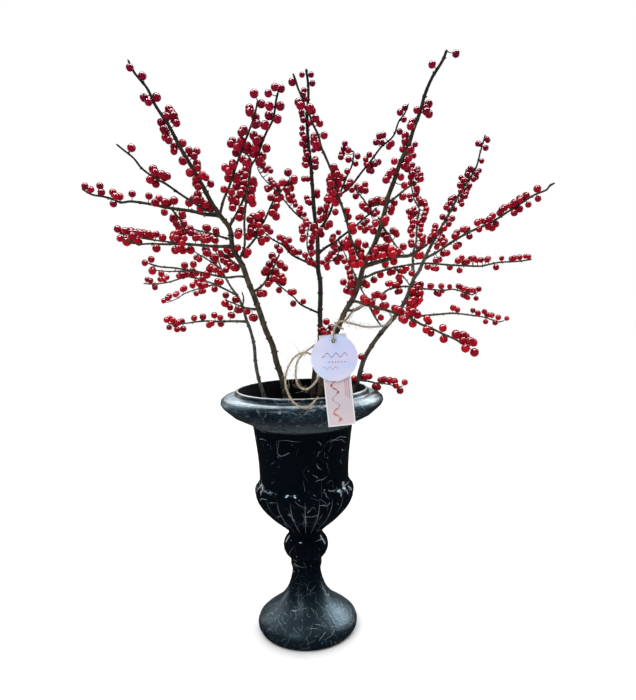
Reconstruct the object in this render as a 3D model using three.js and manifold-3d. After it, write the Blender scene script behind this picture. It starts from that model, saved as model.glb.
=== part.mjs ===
// Five cut branches of red-berried winterberry holly standing in water in a dark glazed pedestal
// urn, with two paper tags tied to one branch by jute twine.
// Millimetres, +Z up, the front towards -Y, the origin in the middle of the foot's underside.

import * as THREE from 'three';
import { mergeVertices } from 'three/addons/utils/BufferGeometryUtils.js';
import Module from 'manifold-3d';

const wasm = await Module();
wasm.setup();

// Driving dimensions
const gap = 0.3; // left between pieces that touch
const urnHeight = 312.6;
const rimRadius = 101.8;
const footRadius = 64;
const lobes = 22; // gadroons round the bowl
const lobeDepth = 3.2;
const lobeFullness = 0.6; // below 1 the gadroons stand out near their ends too
const waterLevel = 221;
const urnFloor = 147; // height of the bottom of the hollow
const berryRadius = 4.5;
const smallBerries = { branch_right: 4.1 }; // a branch whose berries are smaller
const berrySpread = 0.45; // a berry's radius is off by up to this much
const twineRadius = 1.1;
const tagThickness = 0.8;
const tagHoleRadius = 2.4;
const roundTagRadius = 25.5;
const longTagWidth = 30;
const longTagLength = 101;
const longTagLean = THREE.MathUtils.degToRad(4.7);
const tagHole = new THREE.Vector3(35.4, -100.3, 378.5);
const tagHoleEdge = 7; // from a hole's middle up to the edge

// Routes are given as seen from the front, by an eye this far before the urn's axis and this high.
// A point [across, up, back] is where it is seen against the upright plane through the axis, and
// how far behind that plane it lies.
const eyeDistance = 735;
const eyeHeight = 429.5;

// One branch: the spot where its cut end stands on the urn's floor, its stem and its twigs.
// A twig grows from the nearest point of what is listed before it, and its depth runs evenly
// from there to the depth given for its tip. Fruit is [across, up, number of berries].
const branches = {
  branch_left: {
    foot: [-9, -16],
    stem: {
      thick: [3.6, 1.1],
      route: [
        [-20, 296, -34], [-25, 326, -38], [-31, 346, -42], [-35, 366, -46], [-43, 386, -50],
        [-49, 406, -52], [-55, 425, -55], [-63, 447, -58], [-69, 466, -61], [-80, 487, -64],
        [-83, 511, -67], [-94, 527, -70], [-103, 541, -73], [-114, 563, -77], [-128, 589, -80],
        [-139, 609, -83], [-151, 634, -86], [-166, 658, -89], [-175, 678, -91], [-189, 696, -94],
        [-196, 711, -96],
      ],
      fruit: [
        [-190, 701, 1], [-181, 691, 1], [-179, 667, 1], [-174, 662, 1], [-165, 667, 1],
        [-146, 645, 5], [-160, 638, 1], [-157, 628, 2], [-154, 619, 2], [-137, 613, 1],
        [-147, 609, 3], [-125, 602, 3], [-136, 593, 1], [-119, 587, 2], [-128, 579, 1],
        [-112, 574, 2], [-121, 566, 3], [-104, 565, 1], [-120, 555, 2], [-104, 537, 1],
        [-154, 644, 1], [-119, 604, 1],
      ],
    },
    twigs: [
      {
        back: -60, thick: [2.1, 1.0],
        route: [
          [-96, 526], [-112, 529], [-128, 533], [-153, 537], [-181, 543], [-202, 546],
          [-213, 545], [-223, 549], [-232, 552], [-247, 555], [-259, 562],
        ],
        fruit: [
          [-255, 565, 1], [-249, 560, 1], [-237, 565, 1], [-236, 556, 1], [-222, 557, 1],
          [-217, 551, 2], [-222, 544, 1], [-199, 555, 1], [-179, 552, 1], [-172, 542, 2],
          [-167, 549, 1], [-160, 546, 3], [-149, 546, 1], [-159, 539, 1], [-131, 543, 1],
          [-118, 533, 1],
        ],
      },
      {
        back: 20, thick: [1.2, 0.7],
        route: [[-153, 537], [-147, 529], [-141, 521], [-139, 514], [-133, 508]],
        fruit: [
          [-134, 508, 2], [-150, 527, 1], [-145, 527, 1], [-140, 530, 1], [-142, 521, 2],
          [-141, 515, 1], [-136, 512, 2],
          [-143, 523, 1],
        ],
      },
      {
        back: -120, thick: [1.5, 1.0],
        route: [
          [-97, 528], [-116, 537], [-127, 544], [-143, 555], [-158, 566], [-169, 572],
          [-186, 585], [-195, 597], [-208, 608], [-215, 614],
        ],
        fruit: [
          [-197, 609, 1], [-171, 582, 2], [-163, 576, 3], [-176, 572, 1], [-170, 566, 1],
          [-156, 575, 1], [-122, 546, 3], [-112, 539, 1],
        ],
      },
      {
        back: -100, thick: [1.9, 0.8],
        route: [
          [-80, 490], [-100, 490], [-120, 492], [-142, 494], [-163, 494], [-180, 495],
          [-196, 495], [-205, 499], [-214, 501],
        ],
        fruit: [
          [-205, 500, 2], [-165, 502, 1], [-173, 490, 1], [-150, 502, 2], [-146, 496, 3],
          [-141, 502, 2], [-148, 488, 2], [-141, 486, 1], [-128, 492, 2], [-133, 488, 1],
          [-113, 497, 2], [-107, 497, 1],
          [-143, 494, 1],
        ],
      },
      {
        back: 10, thick: [1.2, 0.7],
        route: [[-138, 494], [-160, 497], [-180, 500], [-200, 504], [-218, 508]],
        fruit: [
          [-216, 510, 3], [-208, 509, 4], [-200, 507, 4], [-190, 506, 4], [-182, 506, 3],
          [-213, 502, 3], [-203, 501, 3], [-195, 500, 2], [-150, 505, 2], [-144, 507, 2],
          [-174, 499, 1],
        ],
      },
      {
        back: 40, thick: [1.4, 0.7],
        route: [[-83, 498], [-92, 501], [-103, 505], [-115, 508], [-128, 512], [-137, 517]],
        fruit: [
          [-135, 514, 2], [-130, 511, 2], [-122, 507, 3], [-112, 509, 2], [-105, 507, 2],
          [-100, 509, 1], [-97, 503, 1], [-112, 500, 3], [-104, 499, 2], [-120, 502, 2],
        ],
      },
      {
        back: -5, thick: [1.3, 1.0],
        route: [
          [-64, 452], [-73, 453], [-90, 452], [-104, 455], [-120, 459], [-131, 461],
          [-152, 465], [-170, 467], [-183, 471],
        ],
        fruit: [
          [-188, 472, 1], [-180, 476, 1], [-178, 469, 1], [-140, 467, 1], [-129, 469, 1],
          [-127, 465, 1], [-113, 458, 3], [-105, 462, 2], [-98, 460, 2], [-104, 467, 1],
        ],
      },
      {
        back: 75, thick: [1.2, 0.7],
        route: [[-129, 461], [-143, 461], [-160, 461], [-176, 463]],
        fruit: [[-178, 464, 2], [-173, 463, 2], [-170, 459, 2], [-137, 461, 2], [-131, 459, 1]],
      },
      {
        back: 40, thick: [1.2, 0.7],
        route: [[-92, 453], [-93, 459], [-100, 466], [-108, 472], [-119, 479], [-131, 487]],
        fruit: [
          [-125, 477, 1], [-121, 476, 1], [-112, 482, 2], [-113, 486, 2], [-103, 477, 2],
          [-107, 473, 1], [-116, 488, 1],
        ],
      },
      {
        back: 0, thick: [1.3, 0.7],
        route: [[-69, 463], [-78, 469], [-86, 476], [-93, 482], [-99, 486]],
        fruit: [
          [-99, 484, 1], [-90, 478, 3], [-86, 474, 3], [-84, 469, 2], [-78, 464, 2],
          [-88, 466, 2], [-82, 481, 2],
          [-90, 479, 1],
        ],
      },
      {
        back: -115, thick: [1.5, 1.0],
        route: [
          [-93, 529], [-89, 546], [-82, 561], [-78, 571], [-70, 592], [-61, 614], [-52, 635],
          [-47, 649], [-44, 662],
        ],
        fruit: [
          [-48, 670, 1], [-40, 658, 1], [-54, 653, 1], [-50, 642, 3], [-46, 635, 1],
          [-63, 626, 2], [-59, 623, 1], [-50, 621, 1], [-67, 611, 3], [-78, 612, 1],
          [-79, 605, 1], [-71, 603, 2], [-60, 608, 2], [-76, 589, 1], [-79, 583, 3],
          [-80, 573, 2], [-71, 571, 2], [-88, 558, 1], [-79, 547, 1],
          [-81, 556, 1], [-86, 584, 1],
        ],
      },
      {
        back: -20, thick: [1.8, 0.8],
        route: [
          [-84, 513], [-79, 521], [-73, 530], [-67, 542], [-62, 554], [-58, 566], [-57, 578],
          [-54, 589], [-58, 598], [-68, 604], [-82, 611],
        ],
        fruit: [
          [-80, 609, 1], [-60, 600, 3], [-52, 602, 2], [-62, 590, 4], [-58, 583, 2],
          [-66, 578, 1], [-60, 577, 2], [-64, 570, 3], [-72, 563, 2], [-66, 563, 3],
          [-66, 555, 2], [-73, 553, 3], [-62, 552, 2], [-77, 540, 3], [-71, 542, 2],
          [-67, 532, 2], [-69, 526, 2],
        ],
      },
      {
        back: -130, thick: [1.3, 1.1],
        route: [
          [-71, 474], [-66, 489], [-65, 501], [-65, 517], [-63, 536], [-60, 554], [-57, 571],
          [-54, 586], [-47, 596], [-40, 613], [-34, 626], [-27, 638], [-24, 649], [-22, 661],
          [-19, 672],
        ],
        fruit: [
          [-23, 677, 1], [-17, 674, 1], [-31, 670, 1], [-30, 655, 1], [-17, 655, 1],
          [-30, 644, 1], [-21, 640, 1], [-36, 633, 1], [-41, 612, 2], [-48, 611, 3],
          [-33, 602, 1], [-51, 602, 2], [-43, 593, 3], [-53, 590, 2], [-55, 567, 2],
          [-55, 558, 1], [-58, 550, 2], [-54, 541, 1], [-72, 505, 2], [-66, 482, 2],
          [-74, 488, 1],
        ],
      },
      {
        back: -45, thick: [1.4, 1.0],
        route: [
          [-69, 480], [-58, 492], [-50, 502], [-46, 511], [-40, 521], [-31, 539], [-26, 549],
          [-20, 554], [-12, 563], [-8, 569],
        ],
        fruit: [
          [-10, 577, 1], [-3, 569, 1], [-13, 572, 1], [-9, 570, 2], [-17, 565, 1],
          [-22, 569, 1], [-9, 557, 2], [-24, 547, 2], [-31, 547, 1], [-25, 538, 1],
          [-29, 531, 2], [-26, 527, 2], [-44, 528, 1], [-56, 523, 2], [-50, 521, 3],
          [-43, 521, 2], [-56, 512, 3], [-47, 512, 3], [-38, 511, 1], [-50, 504, 3],
          [-44, 496, 2], [-38, 498, 1], [-58, 502, 2],
        ],
      },
      {
        back: -15, thick: [1.6, 0.7],
        route: [
          [-58, 433], [-51, 437], [-43, 444], [-37, 454], [-31, 463], [-26, 473], [-22, 483],
          [-20, 488],
        ],
        fruit: [
          [-24, 481, 1], [-40, 446, 2], [-46, 431, 2], [-40, 458, 2], [-36, 462, 3],
          [-26, 471, 3], [-22, 468, 2], [-17, 462, 1], [-28, 456, 2], [-30, 451, 2],
        ],
      },
      {
        back: 45, thick: [1.5, 0.7],
        route: [[-53, 411], [-66, 414], [-79, 419], [-92, 425]],
        fruit: [
          [-88, 424, 3], [-80, 424, 3], [-86, 415, 1], [-84, 405, 1], [-75, 414, 2],
          [-66, 409, 2], [-58, 402, 2],
        ],
      },
    ],
  },
  branch_left_back: {
    foot: [-17, 0],
    stem: {
      thick: [2.5, 1.8],
      route: [
        [-47, 299, 0], [-54, 326, 6], [-57, 346, 12], [-58, 366, 18], [-62, 386, 24],
        [-67, 401, 29], [-70, 414, 34], [-77, 430, 40],
      ],
      fruit: [],
    },
    twigs: [
      {
        back: 150, thick: [1.5, 1.0],
        route: [
          [-77, 430], [-92, 438], [-104, 444], [-120, 450], [-135, 454], [-160, 448],
          [-176, 446], [-191, 447],
        ],
        fruit: [
          [-184, 451, 2], [-180, 447, 2], [-170, 450, 1], [-164, 452, 2], [-146, 457, 2],
          [-140, 456, 2], [-127, 453, 2], [-121, 452, 2], [-118, 456, 2], [-114, 446, 1],
          [-122, 443, 2], [-104, 439, 1], [-99, 446, 2],
        ],
      },
      {
        back: 120, thick: [1.5, 1.0],
        route: [[-77, 430], [-84, 440], [-91, 453], [-97, 468], [-101, 484]],
        fruit: [[-101, 486, 2], [-100, 472, 1], [-98, 480, 2], [-92, 462, 2]],
      },
      {
        back: 95, thick: [1.7, 0.9],
        route: [
          [-66, 397], [-85, 398], [-100, 398], [-120, 399], [-140, 397], [-152, 396],
          [-163, 397],
        ],
        fruit: [
          [-163, 399, 2], [-155, 397, 3], [-148, 396, 2], [-145, 390, 1], [-131, 403, 1],
          [-120, 404, 1], [-106, 406, 1], [-86, 406, 1], [-113, 396, 1], [-104, 399, 2],
          [-96, 397, 1],
          [-162, 394, 1],
        ],
      },
      {
        back: 20, thick: [1.1, 0.8],
        route: [[-71, 416], [-69, 426], [-71, 434]],
        fruit: [],
      },
      {
        back: 200, thick: [1.2, 0.7],
        route: [[-104, 444], [-120, 440], [-140, 434], [-152, 427], [-163, 423]],
        fruit: [
          [-160, 426, 2], [-150, 430, 2], [-141, 436, 2], [-131, 438, 2], [-120, 437, 2],
          [-167, 425, 1],
        ],
      },
    ],
  },
  branch_middle: {
    foot: [3, 16],
    stem: {
      thick: [3.6, 1.7],
      route: [
        [14, 306, 22], [16, 326, 30], [20, 351, 44], [24, 371, 54], [25, 386, 60],
        [25, 406, 66], [26, 426, 72], [26, 446, 77], [24, 458, 80], [24, 476, 85],
        [24, 496, 90], [23, 511, 94], [21, 526, 98], [20, 546, 104], [19, 566, 110],
        [18, 586, 116], [16, 606, 122], [15, 626, 128], [15, 646, 134], [17, 666, 140],
        [17, 681, 145], [15, 698, 150],
      ],
      fruit: [
        [21, 691, 1], [10, 691, 1], [21, 681, 1], [15, 673, 1], [15, 665, 2], [18, 651, 2],
        [11, 643, 3], [15, 633, 3], [10, 618, 3], [15, 616, 2], [8, 611, 1], [12, 602, 3],
        [22, 603, 1], [10, 595, 2], [17, 592, 3], [23, 594, 4], [17, 586, 2], [22, 583, 1],
        [9, 569, 1], [14, 569, 1], [24, 551, 2], [13, 544, 2], [16, 540, 1],
      ],
    },
    twigs: [
      {
        back: 60, thick: [1.7, 1.0],
        route: [
          [24, 461], [13, 467], [3, 472], [-8, 478], [-19, 490], [-31, 497], [-40, 505],
        ],
        fruit: [
          [-37, 503, 1], [-1, 481, 2], [-7, 484, 2], [-12, 487, 2], [-11, 496, 1],
          [-19, 497, 3], [-23, 493, 1],
          [-26, 494, 1],
        ],
      },
      {
        back: 30, thick: [1.5, 0.7],
        route: [
          [25, 405], [14, 410], [1, 417], [-8, 427], [-19, 436], [-29, 445], [-34, 454],
        ],
        fruit: [
          [-33, 455, 2], [4, 419, 1], [-8, 418, 1], [-8, 431, 1], [-13, 433, 1],
          [-25, 435, 1], [-22, 442, 1], [-20, 450, 2], [-24, 447, 2],
        ],
      },
      {
        back: 185, thick: [1.5, 0.7],
        route: [
          [22, 513], [8, 520], [-3, 529], [-14, 542], [-22, 552], [-33, 563], [-43, 575],
          [-47, 583],
        ],
        fruit: [
          [-42, 589, 3], [-38, 584, 3], [-33, 580, 2], [-30, 578, 1], [-32, 566, 2],
          [-29, 567, 2], [-29, 558, 3], [-24, 560, 3], [-35, 558, 1], [-9, 547, 3],
          [-5, 549, 1], [-5, 543, 2], [-2, 538, 1], [4, 534, 1], [4, 527, 3], [8, 525, 2],
          [-36, 560, 1],
        ],
      },
      {
        back: 60, thick: [1.8, 1.0],
        route: [
          [23, 504], [30, 512], [37, 522], [42, 533], [46, 543], [57, 552], [66, 559],
          [80, 576], [92, 590], [104, 605], [119, 618], [126, 635], [133, 644], [138, 656],
        ],
        fruit: [
          [137, 651, 1], [130, 644, 1], [129, 639, 1], [127, 623, 1], [104, 619, 2],
          [98, 611, 1], [109, 611, 3], [85, 591, 1], [90, 587, 3], [94, 593, 1],
          [99, 586, 2], [86, 583, 2], [92, 577, 1], [52, 547, 2], [45, 543, 3],
          [38, 546, 2], [41, 529, 2], [35, 534, 2], [29, 530, 2], [33, 525, 3],
          [31, 519, 2], [38, 512, 2], [44, 530, 1], [28, 508, 1], [29, 502, 1],
          [109, 609, 1], [36, 518, 1],
        ],
      },
      {
        back: 110, thick: [1.6, 1.0],
        route: [[51, 547], [56, 558], [61, 570], [68, 584], [70, 594], [71, 600]],
        fruit: [
          [64, 602, 1], [60, 610, 1], [58, 604, 1], [56, 596, 2], [64, 591, 1], [74, 595, 1],
          [70, 588, 1], [61, 562, 3], [60, 571, 3], [66, 559, 1],
          [54, 553, 1],
        ],
      },
      {
        back: 160, thick: [2.0, 1.3],
        route: [
          [25, 478], [34, 486], [45, 492], [54, 499], [64, 506], [72, 512], [80, 519],
          [88, 525], [98, 533],
        ],
        fruit: [
          [96, 527, 2], [45, 494, 2], [50, 504, 1], [66, 510, 1], [77, 521, 2], [82, 519, 2],
          [79, 510, 2], [86, 507, 3], [98, 517, 3], [92, 529, 1],
        ],
      },
      {
        back: 170, thick: [1.2, 0.7],
        route: [[50, 495], [52, 488], [50, 480], [46, 473], [38, 468], [32, 465]],
        fruit: [
          [32, 466, 2], [35, 462, 1], [37, 466, 2], [38, 471, 2], [44, 471, 3], [52, 473, 2],
          [50, 478, 3], [40, 480, 2], [47, 484, 2], [43, 484, 3], [48, 490, 2], [56, 488, 4],
        ],
      },
      {
        back: 35, thick: [1.4, 0.7],
        route: [[24, 462], [18, 470], [13, 480], [11, 491], [12, 503], [14, 513]],
        fruit: [
          [11, 517, 2], [6, 510, 3], [12, 511, 2], [18, 511, 2], [20, 502, 3], [17, 497, 3],
          [8, 498, 2], [5, 495, 1], [16, 488, 2], [12, 479, 2], [17, 482, 2], [14, 473, 3],
          [18, 469, 2],
        ],
      },
      {
        back: 35, thick: [1.3, 0.8],
        route: [[25, 376], [30, 382], [36, 389]],
        fruit: [[36, 390, 1], [28, 383, 2], [32, 386, 2], [33, 381, 1]],
      },
    ],
  },
  branch_right: {
    foot: [8, -17],
    stem: {
      thick: [3.3, 1.4],
      route: [
        [15, 210, -38], [18, 249, -47], [23, 306, -60], [25, 326, -65], [32, 351, -72],
        [40, 371, -78], [47, 386, -82], [56, 406, -86], [68, 426, -89], [76, 447, -92],
        [81, 464, -94], [93, 486, -96], [101, 506, -98], [107, 526, -99], [112, 546, -101],
        [120, 566, -102], [127, 586, -103], [138, 608, -104], [144, 626, -104],
        [152, 646, -105], [158, 666, -106], [167, 686, -107], [180, 706, -108],
        [185, 718, -108],
      ],
      fruit: [
        [196, 713, 1], [167, 701, 1], [160, 651, 3], [163, 643, 1], [148, 648, 1],
        [140, 632, 2], [137, 626, 1], [143, 628, 1], [140, 618, 1], [134, 611, 1],
        [131, 602, 1], [139, 602, 1], [142, 597, 1], [138, 591, 1], [131, 588, 3],
        [120, 588, 1], [133, 582, 2], [138, 581, 2], [121, 575, 1], [112, 570, 3],
        [128, 569, 1], [132, 559, 1], [117, 529, 2], [107, 517, 2], [111, 511, 1],
        [93, 505, 1], [103, 511, 1],
      ],
    },
    twigs: [
      {
        back: -155, thick: [1.5, 1.0],
        route: [
          [79, 461], [71, 482], [64, 500], [62, 511], [57, 529], [51, 547], [47, 558],
          [45, 572], [41, 583], [36, 595], [31, 607], [28, 620], [22, 633], [18, 644],
          [13, 652], [10, 664], [5, 675], [2, 685], [-1, 693],
        ],
        fruit: [
          [-1, 683, 1],  [9, 658, 2], [5, 654, 1], [19, 650, 2], [25, 640, 1],
          [30, 634, 1], [35, 620, 1], [22, 614, 2], [28, 608, 2], [42, 567, 3], [52, 564, 2],
          [50, 574, 3], [46, 582, 1], [44, 552, 3], [43, 547, 2], [50, 543, 2], [60, 530, 1],
          [63, 525, 2], [65, 511, 1], [69, 508, 2], [64, 492, 3], [72, 488, 2], [83, 488, 1],
          [66, 477, 3], [76, 477, 2], [66, 468, 3], [70, 465, 2], [78, 469, 1],
          [77, 469, 1],
        ],
      },
      {
        back: -30, thick: [1.5, 0.7],
        route: [[109, 536], [100, 537], [92, 535], [86, 537], [81, 544], [76, 550], [72, 555]],
        fruit: [
          [73, 557, 1], [78, 562, 1], [84, 561, 1], [79, 556, 2], [84, 554, 1], [74, 549, 1],
          [84, 537, 2], [86, 531, 2], [92, 540, 3], [98, 542, 3], [104, 539, 3],
          [70, 555, 1],
        ],
      },
      {
        back: 20, thick: [1.4, 0.7],
        route: [[74, 442], [70, 450], [66, 459], [62, 467], [58, 476], [55, 484]],
        fruit: [[57, 469, 1], [60, 461, 1], [64, 455, 1], [64, 448, 2], [70, 449, 1]],
      },
      {
        back: -35, thick: [1.5, 0.7],
        route: [[111, 537], [121, 545], [130, 552], [139, 558], [147, 562], [155, 566]],
        fruit: [
          [154, 566, 1], [145, 562, 3], [141, 571, 2], [119, 539, 1], [129, 547, 1],
        ],
      },
      {
        back: -60, thick: [1.4, 0.8],
        route: [[103, 512], [113, 498], [121, 486], [131, 476]],
        fruit: [
          [130, 485, 1], [107, 502, 1], [110, 496, 3], [119, 504, 2], [122, 500, 1],
        ],
      },
      {
        back: -140, thick: [2.6, 1.3],
        route: [
          [80, 462], [95, 466], [104, 468], [122, 473], [138, 474], [146, 479], [155, 484],
          [161, 488],
        ],
        fruit: [
          [149, 474, 2], [121, 476, 3], [118, 467, 1], [113, 482, 2], [109, 476, 3],
          [100, 483, 4], [92, 473, 4], [98, 474, 2], [99, 490, 3], [106, 489, 2],
        ],
      },
      {
        back: 95, thick: [1.4, 1.1],
        route: [
          [77, 448], [84, 449], [93, 453], [104, 456], [115, 459], [135, 462], [151, 464],
          [170, 463], [190, 461], [205, 460], [228, 459], [238, 461], [250, 463], [276, 464],
          [291, 466],
        ],
        fruit: [
          [285, 470, 2], [276, 466, 1], [267, 468, 2], [253, 468, 1], [246, 457, 1],
          [236, 468, 1], [231, 466, 3], [218, 467, 3], [203, 470, 1], [208, 463, 2],
          [196, 461, 3], [169, 459, 2], [162, 460, 2], [140, 452, 1], [130, 459, 3],
          [125, 449, 1], [115, 453, 2], [108, 457, 3], [93, 445, 1],
          [112, 459, 1],
        ],
      },
      {
        back: 60, thick: [1.2, 0.7],
        route: [[118, 460], [126, 452], [133, 444], [138, 437]],
        fruit: [[137, 439, 1], [124, 447, 1]],
      },
      {
        back: -175, thick: [1.6, 1.0],
        route: [
          [62, 415], [68, 419], [76, 417], [84, 414], [101, 409], [111, 406], [121, 402],
          [142, 394], [152, 388], [162, 384], [180, 375], [189, 371], [197, 367], [204, 362],
          [212, 358],
        ],
        fruit: [
          [212, 358, 3], [216, 364, 2], [208, 366, 3], [207, 373, 2], [200, 372, 4],
          [180, 369, 1], [179, 383, 1], [162, 381, 3], [160, 393, 2], [144, 403, 3],
          [140, 395, 1], [129, 396, 2], [123, 404, 3], [117, 411, 2], [106, 413, 2],
          [104, 424, 1], [95, 426, 2], [90, 415, 1], [85, 420, 4],
          [136, 399, 1],
        ],
      },
      {
        back: -100, thick: [1.3, 0.9],
        route: [[87, 413], [92, 402], [98, 392], [101, 388]],
        fruit: [[101, 398, 1], [93, 405, 1]],
      },
      {
        back: 150, thick: [1.5, 1.0],
        route: [
          [58, 408], [69, 408], [78, 413], [91, 422], [101, 426], [112, 433], [132, 436],
          [144, 434], [160, 432], [179, 430], [192, 431], [206, 427], [215, 424], [222, 426],
        ],
        fruit: [
          [221, 419, 1], [224, 430, 1], [220, 429, 4], [215, 429, 3], [208, 424, 3],
          [209, 431, 2], [202, 433, 3], [184, 431, 2], [177, 434, 1], [173, 429, 2],
          [165, 435, 1], [157, 431, 2], [147, 438, 4], [123, 431, 2], [125, 442, 1],
          [120, 438, 2], [112, 439, 2],
        ],
      },
      {
        back: -65, thick: [1.2, 0.8],
        route: [[75, 443], [77, 434], [82, 425]],
        fruit: [[78, 441, 1], [84, 439, 1]],
      },
      {
        back: -75, thick: [1.2, 0.8],
        route: [[72, 437], [64, 436], [57, 439]],
        fruit: [[56, 441, 1], [66, 438, 2], [60, 433, 2], [66, 430, 2]],
      },
    ],
  },
  branch_right_back: {
    foot: [17, 4],
    stem: {
      thick: [3.2, 1.1],
      route: [
        [33, 186, 4], [43, 226, 3], [50, 261, 0], [58, 291, -2], [66, 309, -4],
        [72, 324, -6], [79, 346, -8], [91, 366, -10], [107, 386, -12], [116, 396, -10],
        [125, 407, -6], [134, 423, 4], [139, 436, 14], [143, 446, 24], [149, 454, 34],
        [156, 469, 50], [167, 490, 74], [173, 500, 86], [182, 515, 100], [191, 531, 116],
        [202, 551, 134], [214, 568, 150], [221, 580, 160], [226, 598, 174], [232, 618, 190],
      ],
      fruit: [
        [232, 612, 1], [229, 606, 4], [226, 587, 1], [220, 577, 2], [212, 574, 3],
        [220, 570, 2], [213, 568, 3], [202, 567, 1], [206, 563, 3], [204, 558, 2],
        [211, 556, 4], [200, 547, 3], [206, 543, 4], [203, 535, 1], [191, 538, 2],
        [185, 533, 2], [192, 533, 2], [181, 519, 1], [187, 516, 3], [189, 510, 1],
        [170, 509, 1], [175, 506, 2], [171, 502, 1], [166, 495, 4], [177, 493, 3],
        [181, 489, 2], [173, 487, 3], [139, 431, 3], [145, 429, 4], [149, 424, 3],
        [143, 421, 2], [153, 421, 2], [133, 423, 1], [150, 415, 3], [144, 412, 3],
        [137, 414, 2], [136, 408, 1], [78, 348, 1],
        [201, 546, 1],
      ],
    },
    twigs: [
      {
        back: -15, thick: [1.8, 1.2],
        route: [
          [156, 470], [171, 477], [190, 489], [210, 500], [232, 509], [241, 513],
          [259, 524], [277, 535], [294, 545], [309, 551], [312, 555], [319, 559],
        ],
        fruit: [
          [297, 552, 1], [298, 540, 1], [286, 533, 1], [285, 542, 1], [279, 542, 3],
          [274, 537, 2], [269, 535, 1], [270, 525, 2], [275, 528, 1], [265, 530, 1],
          [253, 527, 3], [245, 511, 1], [240, 512, 3], [238, 507, 2], [236, 518, 1],
          [230, 514, 2], [224, 514, 2], [226, 508, 2], [212, 497, 1], [208, 503, 2],
          [203, 500, 1], [197, 496, 2], [197, 486, 2], [182, 476, 2], [173, 467, 2],
        ],
      },
      {
        back: 260, thick: [1.8, 0.7],
        route: [
          [143, 447], [142, 461], [142, 476], [146, 491], [147, 506], [148, 518], [150, 531],
          [144, 542], [141, 556], [139, 568], [137, 581], [138, 594], [141, 606],
        ],
        fruit: [
          [141, 606, 1], [140, 597, 2], [138, 584, 2], [148, 577, 2], [141, 573, 3],
          [147, 569, 2], [143, 562, 2], [144, 550, 3], [142, 542, 1], [150, 539, 3],
          [156, 537, 2], [147, 533, 2], [137, 529, 2], [159, 530, 3], [156, 523, 2],
          [155, 518, 2], [145, 525, 2], [139, 524, 3], [145, 516, 2], [140, 507, 3],
          [146, 509, 2], [151, 507, 2], [141, 499, 1], [150, 500, 2], [154, 492, 4],
          [142, 488, 2], [146, 484, 1],
          [143, 546, 1],
        ],
      },
      {
        back: 205, thick: [1.7, 1.0],
        route: [
          [125, 406], [135, 402], [149, 399], [170, 400], [193, 401], [215, 398],
          [232, 395], [249, 389], [256, 390],
        ],
        fruit: [
          [260, 393, 1], [249, 394, 1], [241, 391, 1], [234, 392, 1], [236, 397, 2],
          [233, 401, 2], [218, 397, 1], [217, 404, 1], [197, 403, 1], [192, 408, 1],
          [241, 391, 1],
        ],
      },
      {
        back: 10, thick: [1.3, 0.7],
        route: [
          [71, 320], [84, 318], [92, 316], [101, 315], [111, 313], [121, 310], [128, 311],
        ],
        fruit: [
          [129, 313, 1], [124, 306, 1], [115, 312, 1], [111, 317, 1], [104, 319, 3],
          [96, 312, 1], [91, 316, 1], [81, 324, 3], [68, 321, 1],
          [116, 311, 1],
        ],
      },
    ],
  },
};

// The twine's route in space: a short tail in front of the right branch's stem, once round it,
// out in a bow that leans on the next stem, back across the front, down through both tags'
// holes, then in two loose loops, the outer one laid on the rim.
const twineRoute = [
  [47.5, -87, 390], [42.7, -87.6, 392.7], [38.9, -82.7, 396.7], [44.4, -77.4, 396.4],
  [50.5, -79.5, 399.5], [59.6, -81, 410], [69.1, -75, 414.7], [80.7, -61, 415.3],
  [102, -31, 408.5], [110.5, -16.5, 402.5], [112.8, -12.2, 397.5], [109.5, -16.5, 392.3],
  [97, -33, 389], [73.7, -58, 390.4], [62.2, -72, 393.9], [53.7, -84.3, 396.5],
  [46.3, -88.4, 399], [40.2, -91, 397], [36.7, -98, 391.5], [35.2, -104, 385],
  [35.2, -105.3, 381], [35.4, -103, 378.6], [35.4, -99.5, 378.3], [35.4, -95.6, 379.2],
  [34.2, -93.2, 383], [21.8, -94, 377.6], [1.7, -98, 364.1], [-4.5, -97, 355.5],
  [-6.3, -96, 342], [-3.5, -96, 329.8], [4.5, -97, 325.8], [14.5, -96.5, 333],
  [20, -94.5, 346], [9.6, -91.5, 364.3], [-3.5, -91.8, 363.5], [-14.5, -93.3, 350],
  [-17.8, -95, 331], [-9.2, -97.5, 311.7], [3.5, -98.3, 305.4], [17.5, -97.5, 316.5],
];

// Materials
const glaze = new THREE.MeshStandardMaterial({ color: 0x0c1219, roughness: 0.22 });
const clearWater = new THREE.MeshStandardMaterial({ color: 0x39453f, roughness: 0.05 });
const berried = new THREE.MeshStandardMaterial({ color: 0x96101f, roughness: 0.35 });
const jute = new THREE.MeshStandardMaterial({ color: 0xb9a889, roughness: 0.9 });
const paper = new THREE.MeshStandardMaterial({ color: 0xdedcec, roughness: 0.75 });

const object = new THREE.Group();
const twinePoints = twineRoute.map(([x, y, z]) => new THREE.Vector3(x, y, z));

function addMesh(geometry, name, material) {
  const mesh = new THREE.Mesh(geometry, material);
  mesh.name = name;
  object.add(mesh);
}

// A closed geometry as a solid that can be joined and cut.
function solidOf(geometry) {
  const bare = new THREE.BufferGeometry();
  bare.setAttribute('position', geometry.getAttribute('position'));
  bare.setIndex(geometry.getIndex());
  const merged = mergeVertices(bare);
  return new wasm.Manifold(new wasm.Mesh({
    numProp: 3,
    vertProperties: Float32Array.from(merged.getAttribute('position').array),
    triVerts: Uint32Array.from(merged.getIndex().array),
  }));
}

function geometryOf(solid) {
  const mesh = solid.getMesh();
  const geometry = new THREE.BufferGeometry();
  geometry.setAttribute('position', new THREE.BufferAttribute(mesh.vertProperties, 3));
  geometry.setIndex(new THREE.BufferAttribute(mesh.triVerts, 1));
  geometry.computeVertexNormals();
  return geometry;
}

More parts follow.
